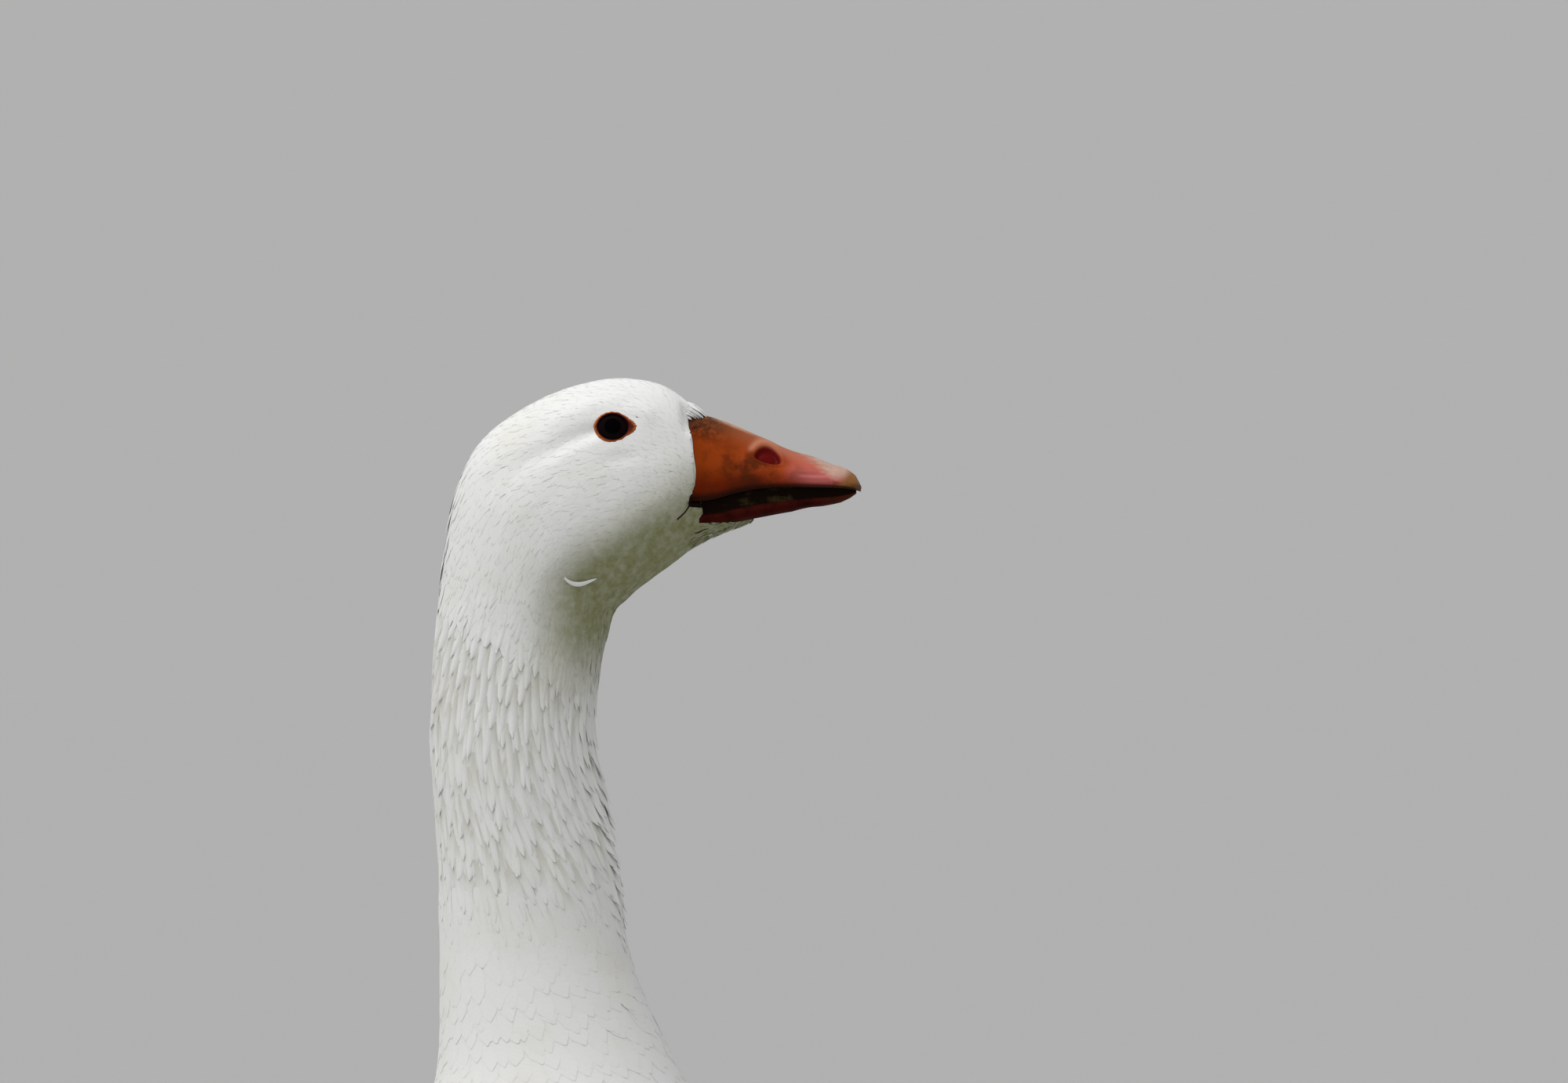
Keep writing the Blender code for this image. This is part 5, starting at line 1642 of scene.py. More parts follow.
def loose_feather(surface):
    """One small shed feather caught on the right side of the throat, curled like a shallow bowl, quite
    clean."""
    t, angle = side_places(surface, np.array([17.6]), np.array([604.4]))
    _, _, d_t, d_angle = surface.at(t, angle)
    forward, level = unit(d_t)[0], unit(d_angle)[0]
    here = vane_sizes(math.atan2(level[0], forward[0]) - 0.71, 13.0, 1.5, -0.5, 1.0, 0.1, 1.7)
    grid = lay_vanes(surface, t, angle, here, lens, 12, 4, 1.0)
    return [(grid, skin_unwrap(t, angle), True, (-1.0, -1.0))]


def neck_slant(t, folded):
    """How far the neck's tufts lean towards the breast, in radians: backwards behind the throat, and forwards
    lower down and at the front."""
    front = ramp(folded, 0.35, 2.4)
    behind = -0.3 * (1.0 - front) * ramp(t, 8.6, 6.2)
    ahead = (0.08 + 0.36 * ramp(t, 6.6, 9.2)) * front * ramp(folded, 3.1, 2.5)
    return behind + ahead


def neck_coat(surface, sizes, rng):
    """The neck's furrowed coat: blunt tufts in staggered rows, each arched across so that soft grooves part
    them. Those of the throat's line lift their tips, and all sink in at the neck's root."""
    reach, wide = sizes.neck_tuft / MM, sizes.neck_width / MM
    t, angle, _ = brick_roots(4.7, 10.1, lambda t: 7.8, lambda t: 3.3, rng, 0.28)
    t = t + rng.normal(0.0, 0.16, len(t)) * ramp(t, 8.8, 9.8)
    folded, sign = folded_angle(angle)
    start, fade = ramp(t, 4.7, 7.2), ramp(t, 9.9, 8.5)
    count = len(t)
    heading = sign * neck_slant(t, folded) + rng.normal(0.0, 0.06, count)
    length = reach * (0.66 + 0.34 * start) * rng.uniform(0.78, 1.16, count)
    width = 1.05 * wide * (0.72 + 0.28 * start) * rng.uniform(0.82, 1.15, count) * (1.5 - 0.5 * fade)
    front = (folded > 2.3) & (t > 5.4)
    lift = np.where(front, (0.7 + 1.9 * rng.random(count)) * ramp(t, 5.4, 7.6) * ramp(folded, 2.2, 2.9), 0.0)
    tip = 0.04 + (0.25 * rng.random(count) ** 1.5 * sizes.furrow * start + lift) * fade - 0.25 * (1.0 - fade)
    arch = sizes.furrow * (0.01 + 0.24 * fade * start)
    curl = rng.normal(0.0, 0.14, count)
    made = []
    for chosen, rise_power in ((~front, 0.6), (front, 1.7)):
        here = [values[chosen] for values in (heading, length, width, tip, arch, curl)]
        here = vane_sizes(*here[:3], 0.36, *here[3:])
        grid = lay_vanes(surface, t[chosen], angle[chosen], here, lens, 6, 4, rise_power)
        made.append((grid, skin_unwrap(t[chosen], angle[chosen]), False))
    return made


def lens(share):
    """Half-width of a neck tuft: narrow at its root, broadest past the middle, with a blunt round end."""
    return np.minimum(1.0, 0.5 + 1.2 * share) * np.sqrt(np.clip(1.0 - share**4.0, 0.0, 1.0) + 0.01)


def neck_under_coat(surface, rng):
    """A flatter set between the neck's rows, so that no skin shows in a groove, darkened as painted shade of
    the grooves.
    """
    t, angle, _ = brick_roots(4.7, 10.7, lambda t: 6.4, lambda t: 2.8, rng, 0.3)
    folded, sign = folded_angle(angle)
    count = len(t)
    heading = sign * neck_slant(t, folded) + rng.normal(0.0, 0.1, count)
    tip = -0.15 - 0.3 * ramp(t, 5.4, 7.0) * ramp(t, 10.4, 9.6)
    here = vane_sizes(heading, 15.0, 6.0, 0.6, tip, 0.0)
    grid = lay_vanes(surface, t + 0.09, angle, here, plume, 3, 2, 1.0)
    # Tints from 1 to 4 darken this set in the plumage material: painted shade of the grooves.
    return [(grid, skin_unwrap(t, angle), False, (1.0, 4.0))]


def on_breast(t, folded):
    """1 at the front of the neck's root, falling to 0 behind it and on the trunk."""
    return ramp(t, 13.0, 10.6) * ramp(folded, 0.5, 1.6)


def crop_coat(surface, rng):
    """Smooth plumage of the neck's root and the crop: soft tufts lying flush, without the neck's grooves."""
    t, angle, _ = brick_roots(9.2, 12.9, lambda t: 5.6, lambda t: 4.8, rng, 0.3)
    folded, sign = folded_angle(angle)
    count = len(t)
    lean = 0.16 * on_breast(t, folded) + neck_slant(t, folded) * ramp(t, 11.0, 9.6)
    heading = sign * lean + rng.normal(0.0, 0.06, count)
    length = 16.0 * rng.uniform(0.85, 1.15, count)
    tip = 0.03 * rng.random(count) - 0.2 * ramp(t, 9.9, 9.2)
    here = vane_sizes(heading, length, 7.8 * rng.uniform(0.9, 1.1, count), 0.28, tip, 0.004)
    return [(lay_vanes(surface, t, angle, here, lens, 5, 3, 0.6), skin_unwrap(t, angle), False)]


def body_coat(surface, sizes, rng):
    """The trunk's coat: rounded contour feathers, small on the crop and larger behind, lying flush with a
    soft raised edge."""
    reach = sizes.contour / MM

    def grow(t):
        return 0.66 + 0.34 * ramp(t, 10.5, 14.0)

    t, angle, _ = brick_roots(12.2, 22.2, lambda t: 8.6 * grow(t), lambda t: 8.8 * grow(t), rng, 0.3)
    stays = rng.random(len(t)) < ramp(t, 12.0, 13.0) + 0.1
    t, angle = t[stays], angle[stays]
    keep = ~wing_cover(surface, t, angle)
    t, angle = t[keep], angle[keep]
    folded, sign = folded_angle(angle)
    scale = grow(t)
    count = len(t)
    heading = sign * 0.16 * on_breast(t, folded) + rng.normal(0.0, 0.09, count)
    length = reach * scale * (0.9 + 0.2 * rng.random(count)) * (1.0 + 0.25 * ramp(t, 18.0, 21.5))
    width = 0.62 * reach * scale * (0.92 + 0.16 * rng.random(count))
    settled = ramp(t, 12.4, 14.5)
    tip = 0.01 + (0.02 + 0.13 * settled) * rng.random(count)
    depth = 0.3 + 0.5 * settled
    arch = 0.004 + 0.022 * settled
    curl = rng.normal(0.0, 0.1, count)
    here = vane_sizes(heading, length, width, depth, tip, arch, curl)
    grid = lay_vanes(surface, t, angle, here, rounded, 6, 4, 0.7)
    return [(grid, skin_unwrap(t, angle), False)]


def wing_cover(surface, t, angle):
    """True where a place on the trunk lies well under a folded wing."""
    point = surface.at(t, angle)[0]
    x, z = point[:, 0], point[:, 2]
    rows = np.array(WING)
    order = np.argsort(rows[:, 0])
    top = np.interp(x, rows[order, 0], rows[order, 1])
    low = np.interp(x, rows[order, 0], rows[order, 2])
    inside_x = (x < 8.0) & (x > -325.0)
    return inside_x & (z < top - 20.0) & (z > low + 24.0) & (np.abs(point[:, 1]) > 24.0)


def thigh_coat(rng):
    """Soft feathers of the thighs, pointing down and back, shortening to a ragged cuff over the hock."""
    batches = []
    for side in SIDES:
        segments, overlap = 73, 12
        rings = thigh_rings(side, 61, segments)
        angle_end = 2.0 * math.pi * (segments + overlap - 1) / segments
        surface = Surface(np.concatenate([rings, rings[:, :overlap]], axis=1), (0.0, 1.0), (0.0, angle_end))
        rows = np.linspace(0.1, 0.93, 19)
        counts = np.round(np.interp(rows, (0.0, 0.5, 1.0), (26.0, 22.0, 13.0))).astype(int)
        p = np.repeat(rows, counts) + rng.normal(0.0, 0.008, counts.sum())
        place = np.concatenate([np.arange(count) / count for count in counts])
        q = np.mod(place + np.repeat(np.arange(len(rows)) % 2 * 0.02, counts), 1.0) * 2.0 * math.pi
        q = np.mod(q + rng.normal(0.0, 0.05, len(q)), 2.0 * math.pi)
        length = np.interp(p, (0.0, 0.6, 1.0), (22.0, 16.0, 9.0)) * (0.85 + 0.3 * rng.random(len(p)))
        length = np.minimum(length, (1.03 - p) * 95.0)
        width = np.interp(p, (0.0, 0.6, 1.0), (12.0, 9.0, 5.0))
        depth = np.interp(p, (0.0, 0.7, 1.0), (2.6, 2.0, 1.2))
        tip = 0.2 + 0.5 * rng.random(len(p))
        heading = rng.normal(0.0, 0.12, len(p))
        here = vane_sizes(heading, length, width, depth, tip, 0.12)
        grid = lay_vanes(surface, p, q, here, rounded, 4, 4, 0.8)
        shift = 0.0 if side == "right" else 0.5
        batches.append((grid, np.stack([0.02 + 0.45 * p + shift, q / (2.0 * math.pi)], axis=-1), False))
    return batches


def chin_coat(rng):
    """Small tufts on the wedge under the jaw, running back to the throat."""
    u, angle = lattice(np.linspace(0.0, 1.0, 41), np.linspace(-1.75, 1.75, 45))
    surface = Surface(chin_points(u, angle), (0.0, 1.0), (-1.75, 1.75))
    surface.table[..., 3:6] *= -np.sign(surface.table[20, 22, 5])
    p, q = lattice(np.linspace(0.06, 0.985, 20), np.linspace(-1.5, 1.5, 24))
    p = (p + rng.uniform(-0.02, 0.02, p.shape)).ravel()
    q = (q + rng.uniform(-0.06, 0.06, q.shape)).ravel()
    count = len(p)
    length = (3.0 + 2.2 * (1.0 - p)) * (0.8 + 0.4 * rng.random(count))
    heading = math.pi + rng.normal(0.0, 0.15, count)
    here = vane_sizes(heading, length, 1.3, 0.5, 0.15 + 0.2 * rng.random(count), 0.12)
    grid = lay_vanes(surface, np.clip(p, 0.0, 0.99), q, here, pointed, 3, 2, 0.7)
    return [(grid, np.stack([0.02 + 0.9 * p, 0.5 + q / 8.0], axis=-1), False)]


def both_sides(build):
    """Batches for the left and the mirrored right side, each with its own half of the unwrap."""
    batches = []
    for number, mirrored in enumerate((False, True)):
        for grid, roots in build():
            batches.append((grid, roots * (1.0, 0.48) + (0.0, 0.5 * number + 0.01), mirrored))
    return batches


# Rows of wing feathers, from the lowest layer to the top one: distance back of the first and the last root,
# their places down the face, number, lengths, widths, and rise of the tips and of each feather over the one
# before.
WING_ROWS = (
    ("secondaries", 150.0, 196.0, 0.97, 0.3, 14, (118.0, 178.0), (17.0, 24.0), -0.4, 0.09),
    ("tertials", 196.0, 176.0, 0.3, -0.42, 9, (190.0, 150.0), (26.0, 28.0), 0.9, 0.1),
    ("greater coverts", 116.0, 150.0, 0.97, 0.02, 17, (60.0, 68.0), (17.0, 20.0), 0.9, 0.05),
    ("median coverts", 92.0, 118.0, 0.96, 0.02, 18, (46.0, 52.0), (15.0, 17.0), 1.2, 0.03),
    ("middle coverts", 70.0, 90.0, 0.96, 0.02, 18, (36.0, 40.0), (14.0, 15.0), 1.4, 0.02),
)


def wing_unwrap(p, q):
    """Places on the wing's own unwrap: p along it and q across it, both 0 to 1."""
    return np.stack([0.02 + 0.9 * np.clip(p / 393.0, 0.0, 1.0), 0.02 + 0.45 * (1.0 + q)], axis=-1)


def wing_coat(rng):
    """The folded wings: the rows of WING_ROWS, small scale-like coverts on the shoulder, and scapulars over
    the join with the back."""
    surface = wing_surface()

    def build():
        made = []
        for _, first_p, last_p, first_q, last_q, count, lengths, widths, tip, step in WING_ROWS:
            share = (np.arange(count) + 0.5) / count
            p = first_p + (last_p - first_p) * share + rng.normal(0.0, 1.2, count)
            q = first_q + (last_q - first_q) * share
            length = lengths[0] + (lengths[1] - lengths[0]) * share + rng.normal(0.0, 1.6, count)
            width = widths[0] + (widths[1] - widths[0]) * share
            heading = rng.normal(0.0, 0.012, count)
            lift = tip + step * np.arange(count)
            here = vane_sizes(heading, length, width, 1.0, lift, 0.035)
            made.append((lay_vanes(surface, p, q, here, quill, 18, 6, 0.6), wing_unwrap(p, q)))
        rows = np.arange(2.0, 84.0, 7.6)
        across = 17
        p = np.repeat(rows, across) + rng.normal(0.0, 0.7, len(rows) * across)
        offset = np.repeat(np.arange(len(rows)) % 2 * 0.5, across)
        q = 0.02 + 0.95 * (np.tile(np.arange(across), len(rows)) + 0.25 + 0.5 * offset) / across
        length = 19.0 + 0.09 * p + rng.normal(0.0, 1.0, len(p))
        heading = rng.normal(0.0, 0.07, len(p))
        lift = 0.2 + 0.9 * ramp(p, 0.0, 50.0) + 0.25 * rng.random(len(p))
        here = vane_sizes(heading, length, 12.5, 1.0, lift, 0.035)
        made.append((lay_vanes(surface, p, q, here, rounded, 6, 4, 0.7), wing_unwrap(p, q)))
        p, q = lattice(np.arange(78.0, 232.0, 10.5), np.linspace(-0.86, 0.16, 8))
        p = p + 5.2 * (np.arange(8) % 2) + rng.normal(0.0, 1.0, p.shape)
        p, q = p.ravel(), (q + rng.normal(0.0, 0.015, q.shape)).ravel()
        length = 26.0 + 0.17 * (p - 70.0) + rng.normal(0.0, 1.2, len(p))
        width = 12.0 + 0.04 * (p - 70.0)
        heading = rng.normal(0.0, 0.05, len(p))
        lift = 0.3 + 1.5 * ramp(p, 70.0, 130.0) + 0.3 * rng.random(len(p))
        here = vane_sizes(heading, length, 1.15 * width, 0.8, lift, 0.03)
        made.append((lay_vanes(surface, p, q, here, rounded, 10, 4, 0.7), wing_unwrap(p, q)))
        return made

    return both_sides(build)


def wing_tip_surface():
    """The outer face of the stacked primaries: p is the distance back, and q runs from their upper to their
    lower edge."""
    length = WING_TIP[0][0] - WING_TIP[-1][0]
    p, q = lattice(np.linspace(0.0, length, 100), np.linspace(0.0, 1.0, 17))
    x = WING_TIP[0][0] - p
    top, low, y, thick = np.moveaxis(rows_at(WING_TIP, x), -1, 0)
    z = top + (low - top) * q
    bulge = thick / 2.0 * np.sqrt(np.clip(1.0 - (2.0 * q - 1.0) ** 2, 0.0, 1.0))
    lean = -0.25 * (z - (top + low) / 2.0)
    return Surface(together(x, y + bulge + lean, z), (0.0, length), (0.0, 1.0))


def primary_quills():
    """The folded primaries: eight stiff quills in each wing tip, each shorter than the one under it."""
    surface = wing_tip_surface()

    def build():
        count = 8
        share = np.arange(count) / (count - 1.0)
        p = np.full(count, 1.0)
        q = 0.14 + 0.66 * (1.0 - share)
        length = 142.0 - 64.0 * share
        width = 15.0 - 2.0 * share
        layer = -4.2 + 0.72 * np.arange(count)
        here = vane_sizes(0.0 * share, length, width, 0.2 - layer, layer, 0.06)
        grid = lay_vanes(surface, p, q, here, primary, 24, 6, 1.0)
        return [(grid, np.stack([0.05 + 0.1 * share, q * 0.9], axis=-1))]

    return both_sides(build)


def tail_quills(rng):
    """The closed tail: broad quills side by side, the middle pair on top, over and under rows of coverts."""
    upper, lower = tail_surface(1.0), tail_surface(-1.0)
    batches = []
    count = 16
    middle = (count - 1) / 2.0
    number = np.arange(count)
    q = (number - middle) / middle * 0.84
    away = np.abs(number - middle)
    layer = 0.4 - 0.36 * away
    here = vane_sizes(0.0 * q, 88.5 - 0.26 * away**2, 13.5, 1.0 - layer, layer, 0.03)
    grid = lay_vanes(upper, np.full(count, 3.0), q, here, quill, 20, 6, 1.0)
    batches.append((grid, np.stack([np.full(count, 0.3), 0.25 + 0.2 * q], axis=-1), False))
    for face, surface, rows in ((0, upper, (27.0, 18.0, 9.0, 0.0)), (1, lower, (36.0, 27.0, 18.0, 9.0, 0.0))):
        for row, first in enumerate(rows):
            count = 12 + row % 2
            q = ((np.arange(count) + 0.5) / count * 2.0 - 1.0) * 0.9 + rng.normal(0.0, 0.012, count)
            p = np.full(count, first) + rng.normal(0.0, 1.0, count)
            length = 34.0 - 2.0 * row + rng.normal(0.0, 1.2, count)
            tip = 1.2 - 0.1 * row + 0.3 * rng.random(count)
            here = vane_sizes(rng.normal(0.0, 0.04, count), length, 12.0, 0.6, tip, 0.07)
            grid = lay_vanes(surface, p, q, here, rounded, 8, 4, 0.7)
            batches.append((grid, np.stack([0.1 + p / 140.0, 0.25 + 0.5 * face + 0.2 * q], axis=-1), False))
    return batches


# Wings, tail and leg forms.


def wing_form(side, material):
    """The folded wing under its feathers: a closed plate. Its outer face lies 2.8 mm inside the feathers'
    level, and its inner face 13 mm inwards in the trunk's plumage, thinning to 5 mm at its hind end."""
    surface = wing_surface()
    p, q = lattice(np.linspace(1.0, 378.0, 110), np.linspace(0.02, 0.985, 36))
    points, normal, _, _ = surface.at(p, q)
    middle = points.mean(axis=1, keepdims=True)
    narrow = 0.95 - 0.35 * ramp(p, 250.0, 378.0)[..., None]
    even = np.ones_like(narrow)
    shrink = middle + (points - middle) * np.concatenate([even, even, narrow], axis=-1)
    outer = shrink - normal * 2.8
    inner = shrink[:, ::-1] - np.array([0.0, 1.0, 0.0]) * (13.0 - 8.0 * ramp(p, 250.0, 378.0))[..., None]
    rings = np.concatenate([outer, inner], axis=1) * (1.0, SIDES[side], 1.0)
    return closed_object("wing_form_" + side, material, rings)


def wing_tip_form(side, material):
    """The core of the stacked primaries: a thin tapering blade."""
    at = np.linspace(0.0, len(WING_TIP) - 1.6, 40)
    x, top, low, y, thick = (size[:, None] for size in np.moveaxis(smooth(WING_TIP, at), -1, 0))
    angle = full_turn(28)[None, :]
    middle = (top + low) / 2.0
    z = middle + 0.3 * (top - low) * np.sin(angle)
    across = y + 0.25 * thick * np.cos(angle) - 0.25 * (z - middle) - 1.2
    rings = together(x, across, z) * (1.0, SIDES[side], 1.0)
    return closed_object("wing_tip_form_" + side, material, rings)


def tail_form(material):
    """The tail's fleshy root: elliptic rings a little inside the tail's own outline."""
    at = np.linspace(-0.25, len(TAIL) - 1.6, 50)
    x, mid, high, wide = (size[:, None] for size in np.moveaxis(smooth(TAIL, at), -1, 0))
    angle = full_turn(48)[None, :]
    shrink = 1.0 - 0.1 * np.clip(at, 0.0, 4.0)[:, None] / 4.0
    y = (wide - 2.6) * shrink * np.cos(angle)
    droop = TAIL_DROOP * np.clip(at[:, None] / 5.0, 0.0, 1.0) * (y / TAIL_HALF_WIDTH) ** 2
    z = mid + np.maximum(high - 1.8, 0.5) * np.sin(angle) - droop
    return closed_object("tail_form", material, together(x, y, z))


def shank_shell(side):
    """The bare shank: elliptic rings through the radii, with low plates across its front and a ridged
    back."""
    stride = LEG_STRIDE[side]
    start = np.array(HOCK) + (stride, 0.0, HOCK_RISE)
    end = np.array(FOOT_JOINT) + (stride, 0.0, -1.2)
    at = np.linspace(0.0, len(SHANK_SHARES) - 1.0, 110)
    share = smooth(np.array(SHANK_SHARES)[:, None], at)
    centres = start + (end - start) * share
    radii = smooth(np.array(SHANK_RADII), at)
    angle = full_turn(44)[None, :]
    front = ramp(-np.cos(angle), 0.25, 0.8)
    plate = np.mod(share * 27.0, 1.0)
    relief = 0.3 * front * (ramp(plate, 0.0, 0.2) - 0.8 * plate)
    rear = 0.25 * ramp(np.cos(angle), 0.4, 0.9) * np.abs(np.sin(share * 80.0))
    knob = 0.35 * bump(share - 0.05, 0.06) * np.cos(2.0 * angle) ** 2
    rings = tube_rings(centres, radii, 44, (0.0, 0.0, -1.0))
    away = unit(rings - centres[:, None, :])
    rings = rings + away * (relief + rear + knob)[..., None]
    return rings * (1.0, SIDES[side], 1.0)


def foot_height(radius, turn):
    """Height of the foot's upper face: the web, over each toe a ridge sqrt(1 - aside^2.2) with knuckles and
    plates, and a thick middle under the shank."""
    share = radius / max(TOE_LENGTHS)
    sunk = np.clip((radius - HUB_RADII[0]) / (HUB_RADII[1] - HUB_RADII[0]), 0.0, 1.0)
    folds = 0.16 * np.sin(np.radians(turn) * 58.0 + 0.05 * radius) * ramp(radius, 22.0, 40.0)
    height = WEB_THICK + folds + (FOOT_JOINT[2] - WEB_THICK) * np.sqrt(1.0 - sunk**2)
    for toe_angle, length, joints in zip(TOE_ANGLES, TOE_LENGTHS, TOE_JOINTS):
        knuckle = sum(bump(radius - joint * length, 4.0) for joint in joints)
        toe_height = TOE_HEIGHTS[0] + (TOE_HEIGHTS[1] - TOE_HEIGHTS[0]) * share
        toe_height = toe_height * (0.94 + 0.08 * knuckle)
        aside = np.sin(np.radians(turn - toe_angle)) * radius / (TOE_HALF_WIDTH * (0.96 + 0.06 * knuckle))
        ahead = np.abs(turn - toe_angle) < 90.0
        plates = 0.22 * np.abs(np.sin(radius * math.pi / 2.6)) * np.clip(1.0 - np.abs(aside), 0.0, 1.0) ** 0.5
        ridge = (toe_height - WEB_THICK) * np.sqrt(np.maximum(0.0, 1.0 - np.abs(aside) ** 2.2)) * ahead
        height = np.maximum(height, WEB_THICK + ridge + plates * ahead)
    return height


def foot_reach(turn):
    """How far the foot reaches at an angle from straight ahead: to the toes' rounded ends, less along the
    web's hollow edges, along the outermost toes' sides, and to the heel behind."""
    ends = [toe_angle + side * TOE_END_ANGLE for toe_angle in TOE_ANGLES for side in (-1.0, 1.0)]
    length = np.interp(turn, ends, np.repeat(TOE_LENGTHS, 2))
    nearest = np.min([np.abs(turn - toe_angle) for toe_angle in TOE_ANGLES], axis=0)
    round_end = 1.0 - 0.022 * np.clip(nearest / TOE_END_ANGLE, 0.0, 1.0) ** 3
    hollow = np.clip((nearest - TOE_END_ANGLE) / 8.0, 0.0, 1.0)
    web = length * round_end * (1.0 - WEB_DIP * np.sin(hollow * math.pi / 2.0))
    beyond = np.maximum(ends[0] - turn, turn - ends[-1])
    side_width = length * math.sin(math.radians(TOE_END_ANGLE))
    side = side_width / np.sin(np.radians(np.clip(beyond + TOE_END_ANGLE, TOE_END_ANGLE, 90.0)))
    heel = np.minimum(HEEL_RADIUS, HEEL_BACK / np.maximum(-np.cos(np.radians(turn)), 1e-3))
    return np.maximum(np.where(beyond > 0.0, side, web), heel)


def foot_shell(side):
    """The webbed foot: its outline at growing shares of its reach, over the upper face and back under the
    sole."""
    dense = [toe + part for toe in TOE_ANGLES for part in np.linspace(-8.0, 8.0, 33)]
    turn = np.unique(np.round(np.concatenate([np.arange(-180.0, 180.0, 2.0), dense]), 3))
    reach, spread = foot_reach(turn), np.radians(turn)
    share = np.concatenate([np.linspace(0.02, 0.9, 58), [0.93, 0.955, 0.975, 0.99, 1.0]])[:, None]
    hub = np.minimum(HUB_RADII[0], reach) * (0.35 + 0.65 * share) * np.minimum(1.0, share * 12.0)
    radius = np.maximum(reach * share, hub)
    height = foot_height(radius, turn)
    edge = np.sqrt(np.clip((1.0 - share) / 0.075, 0.0, 1.0))
    height = 1.0 + (height - 1.0) * (0.16 + 0.84 * edge)
    top = together(radius * np.cos(spread), radius * np.sin(spread), height)
    under_share = np.array([0.995, 0.96, 0.8, 0.5, 0.2])[:, None]
    under = reach * under_share
    level = np.array([0.35, 0.0, 0.0, 0.0, 0.0])[:, None]
    sole = together(under * np.cos(spread), under * np.sin(spread), level)
    rings = np.concatenate([top, sole]) + (FOOT_JOINT[0] + LEG_STRIDE[side], FOOT_JOINT[1], 0.0)
    return rings * (1.0, SIDES[side], 1.0)


def hind_toe_shell(side):
    """The small raised hind toe."""
    start = np.array([FOOT_JOINT[0] + LEG_STRIDE[side], FOOT_JOINT[1], 0.0]) + HIND_TOE_START
    at = np.linspace(0.0, len(HIND_TOE_RADII) - 1.0, 24)
    centres = start + np.array(HIND_TOE_RUN) * (at / at[-1])[:, None]
    radii = smooth(np.array(HIND_TOE_RADII), at)
    return tube_rings(centres, radii, 24, (-1.0, 0.0, 0.0)) * (1.0, SIDES[side], 1.0)


def build_leg(side, material):
    """Shank, webbed foot and hind toe of one leg as one piece."""
    piece = closed_object("leg_" + side, material, shank_shell(side), foot_shell(side), hind_toe_shell(side))
    settle(piece, "orange_leg", "shank_" + side, "foot_" + side, "hind_toe_" + side)


def claw_shell(place, heading, length, radius, side, lowest):
    """A curved cone: along it the radius falls as (1 - 0.985 s)^0.6 and the middle drops by 1.6 s^2, held
    above lowest."""
    turn = math.radians(heading)
    forward = np.array([math.cos(turn), math.sin(turn), 0.0])
    sideways = np.array([-math.sin(turn), math.cos(turn), 0.0])
    upward = np.array([0.0, 0.0, 1.0])
    share = np.linspace(0.0, 1.0, 22)[:, None, None]
    thick = radius * (1.0 - 0.985 * share) ** 0.6
    angle = full_turn(20)[None, :, None]
    drop = -1.6 * share**2
    centre = np.asarray(place) + forward * length * share + upward * drop
    rings = centre + thick * (np.cos(angle) * sideways * 0.82 + np.sin(angle) * upward * 0.9)
    rings[..., 2] = np.maximum(rings[..., 2], lowest)
    return rings * (1.0, SIDES[side], 1.0)


def build_claws(side, material):
    """The four claws of one foot."""
    ground_x, ground_y = FOOT_JOINT[0] + LEG_STRIDE[side], FOOT_JOINT[1]
    shells = []
    for heading, length in zip(TOE_ANGLES, TOE_LENGTHS):
        turn = math.radians(heading)
        reach = length - 1.6
        place = (ground_x + reach * math.cos(turn), ground_y + reach * math.sin(turn), 2.9)
        shells.append(claw_shell(place, heading, 10.9, 2.6, side, 0.12))
    hind = np.array([ground_x, ground_y, 0.0]) + HIND_TOE_START + np.array(HIND_TOE_RUN) * 0.94
    shells.append(claw_shell(hind, 190.0, 7.2, 2.1, side, 0.2))
    names = [f"claw_{toe}_{side}" for toe in (*TOE_NAMES, "hind")]
    settle(closed_object("claws_" + side, material, *shells), "horn_claw", *names)


# Operators.


def plumage_sizes():
    """The scene's settings of the coat."""
    return bpy.context.scene.goose_plumage


def vane_finish(kind):
    """The plumage material of one part of the coat, made once."""
    # The last column, edge, is the share of a vane's width on each side greyed as painted furrow shade.
    names = {
        "plush": ("Head plush", 9.0, 0.2, 0.05, 0.02, 0.02),
        "neck": ("Neck plumage", 8.0, 0.35, 0.1, 0.05, 0.32),
        "contour": ("Contour feathers", 20.0, 0.6, 0.08, 0.02, 0.02),
        "flight": ("Flight feathers", 100.0, 0.16, 0.2, 0.04, 0.03),
    }
    name, count, slant, strength, variation, edge = names[kind]
    sizes = plumage_sizes()
    white = tuple(sizes.white)
    # How much of the root colour, a painted shade of the furrows, goes into each kind's roots.
    furrow_shade_share = {"neck": 1.0, "plush": 0.05}.get(kind, 0.2)
    root = tuple(furrow_shade_share * a + (1.0 - furrow_shade_share) * b for a, b in zip(sizes.root, sizes.white))
    return bpy.data.materials.get(name) or plumage(name, white, root, count, slant, strength, variation, edge)


def down():
    """The skin's material, made once."""
    return bpy.data.materials.get("White down") or down_finish(tuple(plumage_sizes().white))


def rng_for(number):
    """Random draws of one coat: the seed x 100 + its number."""
    return np.random.default_rng(plumage_sizes().seed * 100 + number)


def add_coat(name, kind, batches, slot, *nodes):
    """A coat piece in its material, put on the frame."""
    return settle(coat_object(name, vane_finish(kind), batches, plumage_sizes().seed), slot, *nodes)


class GOOSE_OT_skin(bpy.types.Operator):
    """Makes the one skin of head, neck, trunk, thighs and chin"""

    bl_idname = "goose.skin"
    bl_label = "Skin"

    def execute(self, context):
        flesh = ("head", "neck_upper", "neck_lower", "trunk", "thigh_left", "thigh_right", "chin")
        settle(build_skin(down()), "white_plumage", *flesh)
        return {"FINISHED"}


